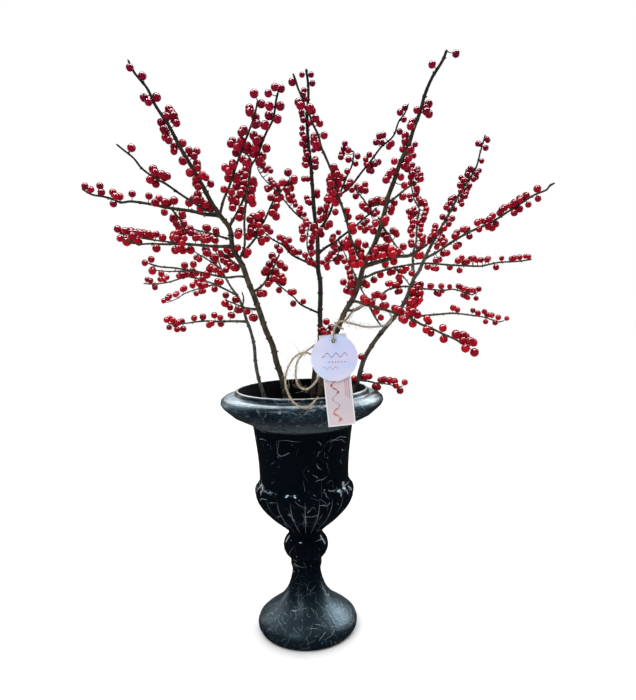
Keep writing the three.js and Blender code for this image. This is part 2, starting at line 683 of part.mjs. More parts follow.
// A number from 0 to 1 drawn in a fixed order, so that every build is the same.
let draws = 0;
function draw() {
  draws += 1;
  const n = Math.sin(draws * 12.9898) * 43758.5453;
  return n - Math.floor(n);
}

function placed([across, up, back]) {
  const scale = (eyeDistance + back) / eyeDistance;
  return new THREE.Vector3(across * scale, back, eyeHeight + (up - eyeHeight) * scale);
}

function seen(x, y, z) {
  const scale = (eyeDistance + y) / eyeDistance;
  return [x / scale, eyeHeight + (z - eyeHeight) / scale, y];
}

// A closed rod along straight steps, round in section, with a radius at each point.
function rod(points, radii, sides) {
  const positions = [];
  const indices = [];
  const side = new THREE.Vector3(1, 0, 0);
  points.forEach((point, i) => {
    const before = points[Math.max(i - 1, 0)];
    const after = points[Math.min(i + 1, points.length - 1)];
    const along = after.clone().sub(before).normalize();
    if (i === 0 && Math.abs(along.x) > 0.8) side.set(0, 1, 0);
    side.addScaledVector(along, -side.dot(along)).normalize();
    const other = along.clone().cross(side);
    for (let k = 0; k < sides; k += 1) {
      const angle = (k / sides) * 2 * Math.PI;
      const corner = point.clone()
        .addScaledVector(side, radii[i] * Math.cos(angle))
        .addScaledVector(other, radii[i] * Math.sin(angle));
      positions.push(corner.x, corner.y, corner.z);
    }
  });
  for (let i = 0; i < points.length - 1; i += 1) {
    for (let k = 0; k < sides; k += 1) {
      const a = i * sides + k;
      const b = i * sides + ((k + 1) % sides);
      indices.push(a, b, b + sides, a, b + sides, a + sides);
    }
  }
  const last = (points.length - 1) * sides;
  for (let k = 1; k < sides - 1; k += 1) {
    indices.push(0, k + 1, k, last, last + k, last + k + 1);
  }
  const geometry = new THREE.BufferGeometry();
  geometry.setAttribute('position', new THREE.Float32BufferAttribute(positions, 3));
  geometry.setIndex(indices);
  return geometry;
}

// The points [radius, height] of an ellipse's arc, from one angle to another in degrees.
function arc(radius, height, wide, tall, from, to, steps) {
  return Array.from({ length: steps + 1 }, (_, i) => {
    const angle = THREE.MathUtils.degToRad(from + ((to - from) * i) / steps);
    return [radius + wide * Math.cos(angle), height + tall * Math.sin(angle)];
  });
}

// A solid of revolution about the upright axis, from a profile that starts and ends on it.
function turned(profile, segments) {
  const points = profile.map(([radius, height]) => new THREE.Vector2(radius, height));
  return new THREE.LatheGeometry(points, segments).rotateX(Math.PI / 2);
}

// Urn: foot, waisted stem with two rings, gadrooned bowl, straight body, rolled rim, raised lip.
const urnSegments = 2 * lobes;
const bowlBottom = 130;
const bowlTop = 183;
const shoulderTop = 194;
const lobeMiddle = 0.7; // the share of a gadroon's depth that stands inside the plain shape

function bowlCurve(steps) {
  const curve = new THREE.CubicBezierCurve(
    new THREE.Vector2(22.4, bowlBottom),
    new THREE.Vector2(33, 139.5),
    new THREE.Vector2(60, 158),
    new THREE.Vector2(62.6, bowlTop),
  );
  return curve.getPoints(steps).map((point) => [point.x, point.y]);
}

function waistCurve(from, to, steps) {
  return Array.from({ length: steps + 1 }, (_, i) => {
    const height = from + ((to - from) * i) / steps;
    return [16.3 + 34.2 * Math.exp(-0.056 * (height - 26)), height];
  });
}

const outside = [
  [0, 0],
  ...arc(footRadius - 9.5, 9.5, 9.5, 9.5, -90, 66, 4),
  ...waistCurve(25.5, 77, 4),
  [19.8, 81], [19.8, 92],
  ...arc(19, 109.3, 9.8, 15, -70, 68, 3),
  [21.6, 127],
  ...bowlCurve(5),
  [61.6, 188], [56.8, shoulderTop], [57, 216], [62.6, 266],
  [72, 274], [87.5, 282], [98.5, 292], [rimRadius, 297.5], [rimRadius - 4, 304],
  [90, 306.4], [83.6, 306.4], [82.6, urnHeight],
];
const inside = [
  [79.8, urnHeight - 1], [76, 298], [60, 272], [51.5, 226], [50, 196],
  [52, 180], [48, 164], [25, urnFloor], [0, urnFloor],
];

function lobeBulge(angle, height) {
  const share = (height - bowlBottom) / (shoulderTop - bowlBottom);
  if (share <= 0 || share >= 1) return 0;
  const ridge = Math.abs(Math.sin((angle * lobes) / 2));
  return lobeDepth * Math.sin(share * Math.PI) ** lobeFullness * (ridge - lobeMiddle);
}

function buildUrn() {
  const geometry = turned([...outside, ...inside], urnSegments);
  const position = geometry.getAttribute('position');
  const rowLength = outside.length + inside.length;
  for (let i = 0; i < position.count; i += 1) {
    const onOutside = i % rowLength < outside.length;
    const radius = Math.hypot(position.getX(i), position.getY(i));
    if (onOutside && radius > 0) {
      const angle = Math.atan2(position.getX(i), -position.getY(i));
      const scale = 1 + lobeBulge(angle, position.getZ(i)) / radius;
      position.setX(i, position.getX(i) * scale);
      position.setY(i, position.getY(i) * scale);
    }
  }
  addMesh(geometry, 'urn', glaze);
}

// Branches: the routes in space
const stemTaper = 2.2;
const cutEnd = 2; // the upright stretch at a stem's foot

function nearestOn(way, across, up) {
  let best = null;
  for (let i = 0; i < way.flat.length - 1; i += 1) {
    const [a, b] = [way.flat[i], way.flat[i + 1]];
    const [dx, dy] = [b[0] - a[0], b[1] - a[1]];
    const share = ((across - a[0]) * dx + (up - a[1]) * dy) / (dx * dx + dy * dy);
    const t = THREE.MathUtils.clamp(share, 0, 1);
    const point = [0, 1, 2].map((k) => a[k] + (b[k] - a[k]) * t);
    const distance = Math.hypot(across - point[0], up - point[1]);
    if (best === null || distance < best.distance) {
      const along = way.points[i + 1].clone().sub(way.points[i]).normalize();
      const radius = way.radii[i] + (way.radii[i + 1] - way.radii[i]) * t;
      best = { point, distance, along, radius };
    }
  }
  return best;
}

function runOf(flat) {
  const run = [0];
  for (let i = 1; i < flat.length; i += 1) {
    const step = Math.hypot(flat[i][0] - flat[i - 1][0], flat[i][1] - flat[i - 1][1]);
    run.push(run[i - 1] + step);
  }
  return run.map((length) => length / run[run.length - 1]);
}

// A taper of 1 is even; a higher one keeps the thickness for longer.
function radiiAlong(run, [thick, thin], taper) {
  return run.map((share) => thick + (thin - thick) * share ** taper);
}

// Every second point of a route is enough for the solid.
function thinned(route) {
  return route.filter((_, i) => i % 2 === 0 || i === route.length - 1);
}

// A stem stands on the urn's floor, and starts upright, so that its cut end stands flat.
function stemWay({ foot: [x, y], stem }) {
  const floor = urnFloor + gap;
  const flat = [seen(x, y, floor), seen(x, y, floor + cutEnd), ...thinned(stem.route)];
  return {
    flat,
    points: flat.map(placed),
    radii: radiiAlong(runOf(flat), stem.thick, stemTaper),
    fruit: stem.fruit,
    sides: 6,
  };
}

function twigWay(twig, earlier) {
  const [across, up] = twig.route[0];
  const roots = earlier.map((way) => nearestOn(way, across, up));
  const root = roots.reduce((a, b) => (b.distance < a.distance ? b : a));
  const route = [root.point, ...thinned(twig.route).slice(1)];
  const run = runOf(route);
  const flat = route.map((point, i) => {
    const back = root.point[2] + (twig.back - root.point[2]) * run[i];
    return [point[0], point[1], back];
  });
  return {
    flat,
    points: flat.map(placed),
    radii: radiiAlong(run, twig.thick, 1),
    fruit: twig.fruit,
    sides: 4,
  };
}

function growWays(branch) {
  const ways = [stemWay(branch)];
  branch.twigs.forEach((twig) => ways.push(twigWay(twig, ways)));
  return ways;
}

// Berries: one by one beside the twig or round it
const goldenAngle = 2.39996;
const clusterPitch = 4.5; // along the twig, from one berry to the next
const clusterDepth = 7; // how far a cluster beside the twig spreads to the front and back
const clusterJog = 1.6; // how far its berries stand out of line
const loneDepth = 3; // the same spread for a berry by itself
const besideWood = 1.5; // a cluster this far off the wood, as seen, hangs beside it
const longestStalk = 11;
const shortestStalk = 0.5;
const woodClearance = 0.2; // between a berry and the wood it sits round
const sittingSpread = 1.6; // how much further out some of them sit
const stalkRadius = 0.9; // at its root
const stalkShare = 0.7; // of the wood's radius, the most that a stalk takes
const neighbourGap = 0.6; // kept to what another branch carries
const crowding = 0.72; // how near two berries of one branch may come, in diameters
const attempts = 9; // the turns tried for one berry
const attemptTurn = 1.3; // in golden angles

// Where a way's wood comes nearest to a point: the place on its middle line, the wood's radius
// there and the distance that is left.
function woodNearest(point, ways) {
  let best = { distance: Infinity };
  ways.forEach((way) => {
    for (let i = 0; i < way.points.length - 1; i += 1) {
      const line = new THREE.Line3(way.points[i], way.points[i + 1]);
      const root = line.closestPointToPoint(point, true, new THREE.Vector3());
      const radius = Math.max(way.radii[i], way.radii[i + 1]);
      const distance = root.distanceTo(point) - radius;
      if (distance < best.distance) best = { root, radius, distance };
    }
  });
  return best;
}

function isClear(centre, radius, owner, allWays, berries, twine) {
  const free = Object.keys(allWays).every((name) => name === owner
    || woodNearest(centre, allWays[name]).distance > radius + neighbourGap);
  if (!free || woodNearest(centre, [twine]).distance < radius + neighbourGap) return false;
  return berries.every((other) => {
    const apart = centre.distanceTo(other.centre);
    if (other.owner === owner) return apart > crowding * (radius + other.radius);
    return apart > radius + other.radius + neighbourGap;
  });
}

function berrySpot(way, fruit, k, turn, radius) {
  const [across, up, count] = fruit;
  const { point, distance, along, radius: wood } = nearestOn(way, across, up);
  const step = (k - (count - 1) / 2) * clusterPitch;
  if (distance > besideWood) {
    const stalk = Math.min(Math.max(distance, radius + shortestStalk), longestStalk + radius);
    const reach = stalk / distance;
    const jog = count === 1 ? 0 : clusterJog * Math.cos(turn);
    const depth = count === 1 ? loneDepth : clusterDepth;
    return placed([
      point[0] + (across - point[0]) * reach + along.x * step - along.z * jog,
      point[1] + (up - point[1]) * reach + along.z * step + along.x * jog,
      point[2] + depth * Math.sin(turn),
    ]);
  }
  const root = placed(point).addScaledVector(along, step);
  const aside = new THREE.Vector3(0, 0, 1).cross(along);
  if (aside.length() < 0.1) aside.set(1, 0, 0);
  aside.normalize();
  const other = along.clone().cross(aside);
  const reach = radius + wood + woodClearance + sittingSpread * Math.abs(Math.sin(turn * 3));
  return root.addScaledVector(aside, reach * Math.cos(turn))
    .addScaledVector(other, reach * Math.sin(turn));
}

function fruitOn(name, ways, allWays, berries, twine) {
  const usual = smallBerries[name] ?? berryRadius;
  ways.forEach((way) => way.fruit.forEach((fruit, place) => {
    const start = draw() * 2 * Math.PI;
    for (let k = 0; k < fruit[2]; k += 1) {
      const radius = usual + berrySpread * (2 * draw() - 1);
      for (let attempt = 0; attempt < attempts; attempt += 1) {
        const turn = start + goldenAngle * (k + attempt * attemptTurn);
        const centre = berrySpot(way, fruit, k, turn, radius);
        if (isClear(centre, radius, name, allWays, berries, twine)) {
          berries.push({ owner: name, radius, centre, tip: place === 0 && k === 0 });
          break;
        }
      }
    }
  }));
}

// A berry of twenty faces, and a stalk that tapers from inside the wood into its nearest face.
function berrySolids({ radius, centre }, ways) {
  const { root, radius: wood } = woodNearest(centre, ways);
  const outward = centre.clone().sub(root);
  const reach = outward.length();
  outward.normalize();
  const ball = new THREE.IcosahedronGeometry(radius, 0);
  const corners = ball.getAttribute('position');
  const face = new THREE.Vector3();
  [0, 1, 2].forEach((i) => face.sub(new THREE.Vector3().fromBufferAttribute(corners, i)));
  ball.applyQuaternion(new THREE.Quaternion().setFromUnitVectors(face.normalize(), outward));
  ball.translate(centre.x, centre.y, centre.z);
  const stalk = new THREE.ConeGeometry(Math.min(stalkRadius, wood * stalkShare), reach, 3);
  stalk.translate(0, reach / 2, 0);
  const upright = new THREE.Vector3(0, 1, 0);
  stalk.applyQuaternion(new THREE.Quaternion().setFromUnitVectors(upright, outward));
  stalk.translate(root.x, root.y, root.z);
  return [solidOf(ball), solidOf(stalk)];
}

function joinAll(solids) {
  let queue = solids;
  while (queue.length > 1) {
    const next = [];
    for (let i = 0; i < queue.length; i += 2) {
      next.push(i + 1 < queue.length ? queue[i].add(queue[i + 1]) : queue[i]);
    }
    queue = next;
  }
  return queue[0];
}

// Of the berries, this many millimetres apart are enough for the solids, tips first.
const keptSpacing = 27;
function fewer(berries) {
  const kept = [];
  [...berries.filter((berry) => berry.tip), ...berries].forEach((berry) => {
    const near = kept.some((other) => other.centre.distanceTo(berry.centre) < keptSpacing);
    if (!near) kept.push(berry);
  });
  return kept;
}

function buildBranches() {
  const twine = { points: twinePoints, radii: twineRoute.map(() => twineRadius) };
  const allWays = Object.fromEntries(
    Object.entries(branches).map(([name, branch]) => [name, growWays(branch)]),
  );
  const berries = [];
  Object.entries(allWays).forEach(([name, ways]) => fruitOn(name, ways, allWays, berries, twine));
  Object.entries(allWays).forEach(([name, ways]) => {
    const solids = ways.map((way) => solidOf(rod(way.points, way.radii, way.sides)));
    fewer(berries.filter((berry) => berry.owner === name))
      .forEach((berry) => solids.push(...berrySolids(berry, ways)));
    addMesh(geometryOf(joinAll(solids)), name, berried);
  });
  return allWays;
}

// Water: fills the bowl and the foot of the body, with a plain hole for each stem.
const wallGap = 0.4;
function buildWater(allWays) {
  const profile = [[0, urnFloor + gap], [25 - gap, urnFloor + gap]];
  profile.push([48 - wallGap, 164 + gap], [52 - wallGap, 180]);
  profile.push([50 - wallGap, 196], [51.4 - wallGap, waterLevel], [0, waterLevel]);
  let water = solidOf(turned(profile, lobes));
  Object.values(allWays).forEach(([stem]) => {
    const above = stem.points.findIndex((point) => point.z > waterLevel);
    const below = stem.points[0].clone().setZ(urnFloor - 5);
    const sleeve = rod(
      [below, ...stem.points.slice(0, above + 2)],
      [stem.radii[0], ...stem.radii].map((radius) => radius / Math.cos(Math.PI / 8) + gap),
      8,
    );
    water = water.subtract(solidOf(sleeve));
  });
  addMesh(geometryOf(water), 'water', clearWater);
}

// Twine: one cord of even thickness.
function buildTwine() {
  const path = new THREE.CatmullRomCurve3(twinePoints, false, 'centripetal');
  const section = new THREE.Shape();
  section.absarc(0, 0, twineRadius, 0, 2 * Math.PI);
  const geometry = new THREE.ExtrudeGeometry(section, {
    steps: 74, extrudePath: path, bevelEnabled: false, curveSegments: 4,
  });
  addMesh(geometry, 'twine', jute);
}

// Tags: cut card with a hole, hung flat on the twine in front of the rim, one behind the other.
function addTag(outline, name, backFace, lean) {
  const hole = new THREE.Path();
  hole.absarc(0, 0, tagHoleRadius, 0, 2 * Math.PI);
  outline.holes.push(hole);
  const geometry = new THREE.ExtrudeGeometry(outline, {
    depth: tagThickness, bevelEnabled: false, curveSegments: 12,
  });
  geometry.rotateX(Math.PI / 2).rotateY(-lean);
  geometry.translate(tagHole.x, backFace, tagHole.z);
  addMesh(geometry, name, paper);
}

function buildTags() {
  const disc = new THREE.Shape();
  disc.absarc(0.6, tagHoleEdge - roundTagRadius, roundTagRadius, 0, 2 * Math.PI);
  addTag(disc, 'round_tag', tagHole.y - 0.5, 0);
  const strip = new THREE.Shape();
  const side = longTagWidth / 2;
  strip.moveTo(-side, tagHoleEdge).lineTo(-side, tagHoleEdge - longTagLength);
  strip.lineTo(side, tagHoleEdge - longTagLength).lineTo(side, tagHoleEdge);
  addTag(strip, 'long_tag', tagHole.y + tagThickness, longTagLean);
}

buildUrn();
const allWays = buildBranches();
buildWater(allWays);
buildTwine();
buildTags();

export default object;
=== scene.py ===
"""Five berried winterberry branches in a dark glazed pedestal urn, with two paper tags on jute twine.

Metres, +Z up, the front towards -Y, the origin in the middle of the urn's underside. Knots,
profiles, routes and clusters are given in millimetres.
"""

import math
import random

import bpy
import numpy as np
from mathutils import Matrix, Vector


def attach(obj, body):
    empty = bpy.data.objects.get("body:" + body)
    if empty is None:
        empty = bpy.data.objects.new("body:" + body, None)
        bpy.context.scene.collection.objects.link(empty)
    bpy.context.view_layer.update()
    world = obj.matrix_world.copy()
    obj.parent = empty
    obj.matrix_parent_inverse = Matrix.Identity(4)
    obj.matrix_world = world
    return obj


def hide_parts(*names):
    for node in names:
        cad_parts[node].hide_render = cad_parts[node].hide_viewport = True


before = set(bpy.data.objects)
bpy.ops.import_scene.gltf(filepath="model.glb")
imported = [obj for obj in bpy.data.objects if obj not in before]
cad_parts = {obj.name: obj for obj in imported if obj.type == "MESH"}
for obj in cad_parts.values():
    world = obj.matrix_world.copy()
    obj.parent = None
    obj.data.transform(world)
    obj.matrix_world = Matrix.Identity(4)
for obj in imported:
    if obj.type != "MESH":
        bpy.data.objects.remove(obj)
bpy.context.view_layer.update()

# Camera: a hand-held camera a little above the middle of the branches, looking slightly down.
# The picture is turned a touch, as it was held.
eye = Vector((0, -0.735, 0.4295))
pitch = math.radians(5.45)
yaw = math.radians(1.67)
roll = math.radians(1.35)
forward = Vector((math.sin(yaw) * math.cos(pitch), math.cos(yaw) * math.cos(pitch), -math.sin(pitch)))
right = forward.cross(Vector((0, 0, 1))).normalized()
up = right.cross(forward)
turned_right = right * math.cos(roll) - up * math.sin(roll)
turned_up = right * math.sin(roll) + up * math.cos(roll)
camera_data = bpy.data.cameras.new("camera")
camera_data.lens = 30.34
camera_data.sensor_width = 36
camera = bpy.data.objects.new("camera", camera_data)
camera.matrix_world = (
    Matrix.Translation(eye) @ Matrix((turned_right, turned_up, -forward)).transposed().to_4x4()
)
bpy.context.collection.objects.link(camera)
bpy.context.scene.camera = camera

# Jute twine: three loosely twisted plies of hairy bast fibre, 2.2 mm thick, tied once round the
# front right branch. Its bow leans on the next stem, it carries both tags, and it ends in two
# loose loops, the outer one laid on the urn's rim. Its plies follow curves, as they are spun.
twine_knots = [
    (47.5, -87, 390), (42.7, -87.6, 392.7), (38.9, -82.7, 396.7), (44.4, -77.4, 396.4),
    (50.5, -79.5, 399.5), (59.6, -81, 410), (69.1, -75, 414.7), (80.7, -61, 415.3),
    (102, -31, 408.5), (110.5, -16.5, 402.5), (112.8, -12.2, 397.5), (109.5, -16.5, 392.3),
    (97, -33, 389), (73.7, -58, 390.4), (62.2, -72, 393.9), (53.7, -84.3, 396.5),
    (46.3, -88.4, 399), (40.2, -91, 397), (36.7, -98, 391.5), (35.2, -104, 385),
    (35.2, -105.3, 381), (35.4, -103, 378.6), (35.4, -99.5, 378.3), (35.4, -95.6, 379.2),
    (34.2, -93.2, 383), (21.8, -94, 377.6), (1.7, -98, 364.1), (-4.5, -97, 355.5),
    (-6.3, -96, 342), (-3.5, -96, 329.8), (4.5, -97, 325.8), (14.5, -96.5, 333),
    (20, -94.5, 346), (9.6, -91.5, 364.3), (-3.5, -91.8, 363.5), (-14.5, -93.3, 350),
    (-17.8, -95, 331), (-9.2, -97.5, 311.7), (3.5, -98.3, 305.4), (17.5, -97.5, 316.5),
]
ply_radius = 0.00064
ply_offset = 0.00056
ply_unevenness = (0.88, 1.1)
twine_step = 0.0009
twist_length = 0.0085
fibre_count = 520
fibre_lengths = (0.0015, 0.006)
fibre_leans = (0.5, 2)
fibre_radii = [0.00014, 0.00012, 0.00009, 0.00004]
loose_fibre_knots = [(2, -97, 364), (-1, -97, 367), (-5, -97, 373), (-9, -97, 378)]
loose_fibre_radii = [0.00025, 0.00022, 0.00018, 0.0001]
fibre_root = 0.0006
chance = random.Random(11)


def smooth_line(knots, step):
    """Points about one step apart on a smooth curve through the knots, and their places along it."""
    ends = [2 * knots[0] - knots[1], *knots, 2 * knots[-1] - knots[-2]]
    line = []
    places = []
    for i in range(len(knots) - 1):
        a, b, c, d = ends[i : i + 4]
        t1 = (b - a).length ** 0.5
        t2 = t1 + (c - b).length ** 0.5
        t3 = t2 + (d - c).length ** 0.5
        count = max(1, round((c - b).length / step))
        for k in range(count):
            t = t1 + (t2 - t1) * k / count
            first = a.lerp(b, t / t1)
            middle = b.lerp(c, (t - t1) / (t2 - t1))
            last = c.lerp(d, (t - t2) / (t3 - t2))
            before = first.lerp(middle, t / t2)
            after = middle.lerp(last, (t - t1) / (t3 - t1))
            line.append(before.lerp(after, (t - t1) / (t2 - t1)))
            places.append(i + k / count)
    return line + [knots[-1]], places + [len(knots) - 1]


def sides_along(line):
    """Two directions square to the line at each point, carried along it without a twist."""
    side = Vector((1, 0, 0))
    pairs = []
    for i, point in enumerate(line):
        along = (line[min(i + 1, len(line) - 1)] - line[max(i - 1, 0)]).normalized()
        if i == 0 and abs(along.x) > 0.8:
            side = Vector((0, 1, 0))
        side = (side - along * side.dot(along)).normalized()
        pairs.append((side.copy(), along.cross(side)))
    return pairs


def strands(name, lines, sides=2):
    """One mesh of round strands; each is a list of points and a list of radii."""
    data = bpy.data.curves.new(name, "CURVE")
    data.dimensions = "3D"
    data.bevel_depth = 1
    data.bevel_resolution = sides
    data.use_fill_caps = True
    for points, radii in lines:
        spline = data.splines.new("POLY")
        spline.points.add(len(points) - 1)
        for place, point, radius in zip(spline.points, points, radii):
            place.co = (*point, 1)
            place.radius = radius
    piece = bpy.data.objects.new(name, data)
    bpy.context.collection.objects.link(piece)
    bpy.ops.object.select_all(action="DESELECT")
    piece.select_set(True)
    bpy.context.view_layer.objects.active = piece
    bpy.ops.object.convert(target="MESH")
    bpy.ops.object.shade_smooth()
    return bpy.context.object


twine_line, _ = smooth_line([Vector(knot) / 1000 for knot in twine_knots], twine_step)
twine_sides = sides_along(twine_line)
twine_run = [0]
for before, after in zip(twine_line, twine_line[1:]):
    twine_run.append(twine_run[-1] + (after - before).length)
plies = []
for ply in range(3):
    points = []
    radii = []
    for point, (side, other), run in zip(twine_line, twine_sides, twine_run):
        turn = 2 * math.pi * (ply / 3 + run / twist_length)
        points.append(point + (side * math.cos(turn) + other * math.sin(turn)) * ply_offset)
        radii.append(ply_radius * chance.uniform(*ply_unevenness))
    plies.append((points, radii))
twine = strands("jute_twine", plies, sides=1)

hairs = []
for _ in range(fibre_count):
    i = chance.randrange(4, len(twine_line) - 4)
    side, other = twine_sides[i]
    along = (twine_line[i + 1] - twine_line[i]).normalized() * chance.choice((-1, 1))
    turn = chance.uniform(0, 2 * math.pi)
    outward = side * math.cos(turn) + other * math.sin(turn)
    length = chance.uniform(*fibre_lengths)
    lean = chance.uniform(*fibre_leans)
    root = twine_line[i] + outward * fibre_root
    points = [root + (outward + along * share * lean) * share * length for share in (0, 0.35, 0.7, 1)]
    hairs.append((points, fibre_radii))
loose_fibre = [Vector(knot) / 1000 for knot in loose_fibre_knots]
hairs.append((loose_fibre, loose_fibre_radii))
fibres = strands("stray_fibres", hairs, sides=0)


def node(tree, kind, inputs=None, **settings):
    """A node with its settings, and its inputs set to values or linked to other nodes' outputs."""
    made = tree.nodes.new(kind)
    for name, value in settings.items():
        setattr(made, name, value)
    for key, value in (inputs or {}).items():
        if isinstance(value, bpy.types.NodeSocket):
            tree.links.new(value, made.inputs[key])
        else:
            made.inputs[key].default_value = value
    return made


def math_node(tree, operation, *values):
    return node(tree, "ShaderNodeMath", dict(enumerate(values)), operation=operation).outputs[0]


def times(tree, *values):
    product = values[0]
    for value in values[1:]:
        product = math_node(tree, "MULTIPLY", product, value)
    return product


def larger(tree, *values):
    most = values[0]
    for value in values[1:]:
        most = math_node(tree, "MAXIMUM", most, value)
    return most


def mix_colors(tree, share, *colors):
    """Two colours mixed; each is its red, green and blue, or another node's output."""
    one, other = [(*color, 1) if isinstance(color, tuple) else color for color in colors]
    return node(tree, "ShaderNodeMix", {0: share, 6: one, 7: other}, data_type="RGBA").outputs[2]


def noise(tree, place, scale, detail=2.0, roughness=0.5):
    inputs = {"Vector": place, "Scale": scale, "Detail": detail, "Roughness": roughness}
    return node(tree, "ShaderNodeTexNoise", inputs).outputs[0]


def ramp(tree, value, start, end, low=0.0, high=1.0):
    """A value taken from between start and end to between low and high, and held there."""
    inputs = {0: value, 1: start, 2: end, 3: low, 4: high}
    return node(tree, "ShaderNodeMapRange", inputs).outputs[0]


def finish(name, roughness=0.5, **constants):
    """A new material: its tree, its shader and its object coordinates."""
    material = bpy.data.materials.new(name)
    material.use_nodes = True
    tree = material.node_tree
    shader = tree.nodes["Principled BSDF"]
    shader.inputs["Roughness"].default_value = roughness
    for socket, value in constants.items():
        shader.inputs[socket.replace("_", " ")].default_value = value
    place = tree.nodes.new("ShaderNodeTexCoord").outputs["Object"]
    return material, tree, shader, place


def effect(name, outputs):
    """A node group that takes a place and a scale: its tree, its two inputs and its output node."""
    tree = bpy.data.node_groups.new(name, "ShaderNodeTree")
    tree.interface.new_socket("Place", in_out="INPUT", socket_type="NodeSocketVector")
    tree.interface.new_socket("Scale", in_out="INPUT", socket_type="NodeSocketFloat")
    for output in outputs:
        tree.interface.new_socket(output, in_out="OUTPUT", socket_type="NodeSocketFloat")
    start = tree.nodes.new("NodeGroupInput")
    return tree, start.outputs["Place"], start.outputs["Scale"], tree.nodes.new("NodeGroupOutput")


def use(tree, group, place, scale):
    made = node(tree, "ShaderNodeGroup", node_tree=group)
    tree.links.new(place, made.inputs["Place"])
    made.inputs["Scale"].default_value = scale
    return made.outputs


def paint(tree, shader, color):
    tree.links.new(color, shader.inputs["Base Color"])


def bump(tree, shader, height, distance, strength=1.0):
    made = node(tree, "ShaderNodeBump", {"Height": height, "Distance": distance, "Strength": strength})
    tree.links.new(made.outputs[0], shader.inputs["Normal"])


# Uneven patches of two sizes, for dried fibre and bark.
mottle, place, scale, end = effect("mottle", ["Patches", "Grain"])
patches = noise(mottle, place, scale, 4.0)
grain = noise(mottle, place, times(mottle, scale, 5.3), 3.0)
mottle.links.new(ramp(mottle, patches, 0.35, 0.65), end.inputs["Patches"])
mottle.links.new(ramp(mottle, grain, 0.3, 0.7), end.inputs["Grain"])

jute, tree, shader, place = finish("jute", 0.9, Sheen_Weight=0.25)
marks = use(tree, mottle, place, 520)
# The dark patches are partly the fibre's own uneven colour and partly painted shade: at random places
# they stand in for the shadows between the twisted plies.
straw_with_painted_shade = mix_colors(tree, marks["Patches"], (0.14, 0.095, 0.05), (0.62, 0.53, 0.38))
straw_with_painted_shade = mix_colors(tree, times(tree, marks["Grain"], 0.4), straw_with_painted_shade, (0.8, 0.74, 0.6))
paint(tree, shader, straw_with_painted_shade)
bump(tree, shader, marks["Grain"], 0.0003, 0.9)
twine.data.materials.append(jute)
fibres.data.materials.append(jute)
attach(twine, "root")
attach(fibres, "root")
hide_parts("twine")

# Round tag: a punched disc of matt card, 51 mm across, hung on the twine by the hole near its
# edge. A pale blue and lilac wash is printed on it, with a plain wave and a few dots.
tag_hole = Vector((0.0354, -0.1003, 0.3785))
tag_hole_radius = 0.0024
hole_inset = 0.007
card_thickness = 0.0005
disc_radius = 0.0255
disc_hole = tag_hole - Vector((0, 0.0009, 0))
disc_middle = disc_hole + Vector((0.0006, 0, hole_inset - disc_radius))
disc_curl = 0.0005
upright = (math.pi / 2, 0, 0)

bpy.ops.object.select_all(action="DESELECT")
bpy.ops.mesh.primitive_circle_add(
    vertices=72, radius=disc_radius, location=disc_middle, rotation=upright
)
round_tag = bpy.context.object
round_tag.name = "tag_round"
bpy.ops.object.mode_set(mode="EDIT")
bpy.ops.mesh.primitive_circle_add(
    vertices=72, radius=tag_hole_radius, location=disc_hole, rotation=upright
)
bpy.ops.mesh.select_all(action="SELECT")
bpy.ops.mesh.bridge_edge_loops(number_cuts=8, interpolation="LINEAR")
bpy.ops.mesh.normals_make_consistent(inside=False)
bpy.ops.object.mode_set(mode="OBJECT")
bpy.ops.object.transform_apply(location=True, rotation=True, scale=True)
for vertex in round_tag.data.vertices:
    reach = (vertex.co.x - disc_middle.x) / disc_radius
    vertex.co.y += disc_curl * reach * reach


def thicken(piece, thickness):
    """Gives a flat card its thickness, with its cut edge in the second material slot."""
    bpy.ops.object.select_all(action="DESELECT")
    piece.select_set(True)
    bpy.context.view_layer.objects.active = piece
    solid = piece.modifiers.new("thickness", "SOLIDIFY")
    solid.thickness = thickness
    solid.offset = 0
    solid.material_offset_rim = 1
    bpy.ops.object.modifier_apply(modifier=solid.name)


def washed(tree, place, scale, one, other, paper):
    """Two soft printed colours that run into each other and fade to the bare paper."""
    wash = mix_colors(tree, ramp(tree, noise(tree, place, scale), 0.4, 0.6), one, other)
    fading = noise(tree, place, scale * 0.6, 1.0)
    return mix_colors(tree, ramp(tree, fading, 0.45, 0.7, 0.0, 0.6), wash, paper)


def keep_print_place(piece):
    """Stores where each point of the flat card lies, in millimetres right of and above its hole."""
    spots = []
    for vertex in piece.data.vertices:
        spots += [(vertex.co.x - tag_hole.x) * 1000, (vertex.co.z - tag_hole.z) * 1000, 0]
    piece.data.attributes.new("print_place", "FLOAT_VECTOR", "POINT").data.foreach_set("vector", spots)


def axes_of(tree, place):
    axes = node(tree, "ShaderNodeSeparateXYZ", {0: place}).outputs
    return axes["X"], axes["Y"], axes["Z"]


def printed_at(tree):
    spot = node(tree, "ShaderNodeAttribute", attribute_name="print_place").outputs["Vector"]
    return axes_of(tree, spot)[:2]


def inked(tree, distance, half_width):
    """A printed line or dot: full within its half width, with a soft edge."""
    return ramp(tree, math_node(tree, "ABSOLUTE", distance), half_width * 0.6, half_width * 1.3, 1.0, 0.0)


def between(tree, value, start, end):
    """1 where a value lies between start and end, else 0."""
    below = math_node(tree, "LESS_THAN", value, end)
    return times(tree, math_node(tree, "GREATER_THAN", value, start), below)


def wave(tree, along, across, level, height, length):
    """How far a place lies from a plain wave that runs along at that level."""
    swing = math_node(tree, "SINE", times(tree, along, 2 * math.pi / length))
    return math_node(tree, "SUBTRACT", across, math_node(tree, "MULTIPLY_ADD", swing, height, level))


def dots_along(tree, along, off, spacing, radius):
    """Round dots, evenly spaced along a line; off is how far a place lies from that line."""
    from_dot = math_node(tree, "SUBTRACT", math_node(tree, "PINGPONG", along, spacing / 2), spacing / 2)
    squares = math_node(tree, "ADD", times(tree, from_dot, from_dot), times(tree, off, off))
    return inked(tree, math_node(tree, "SQRT", squares), radius)


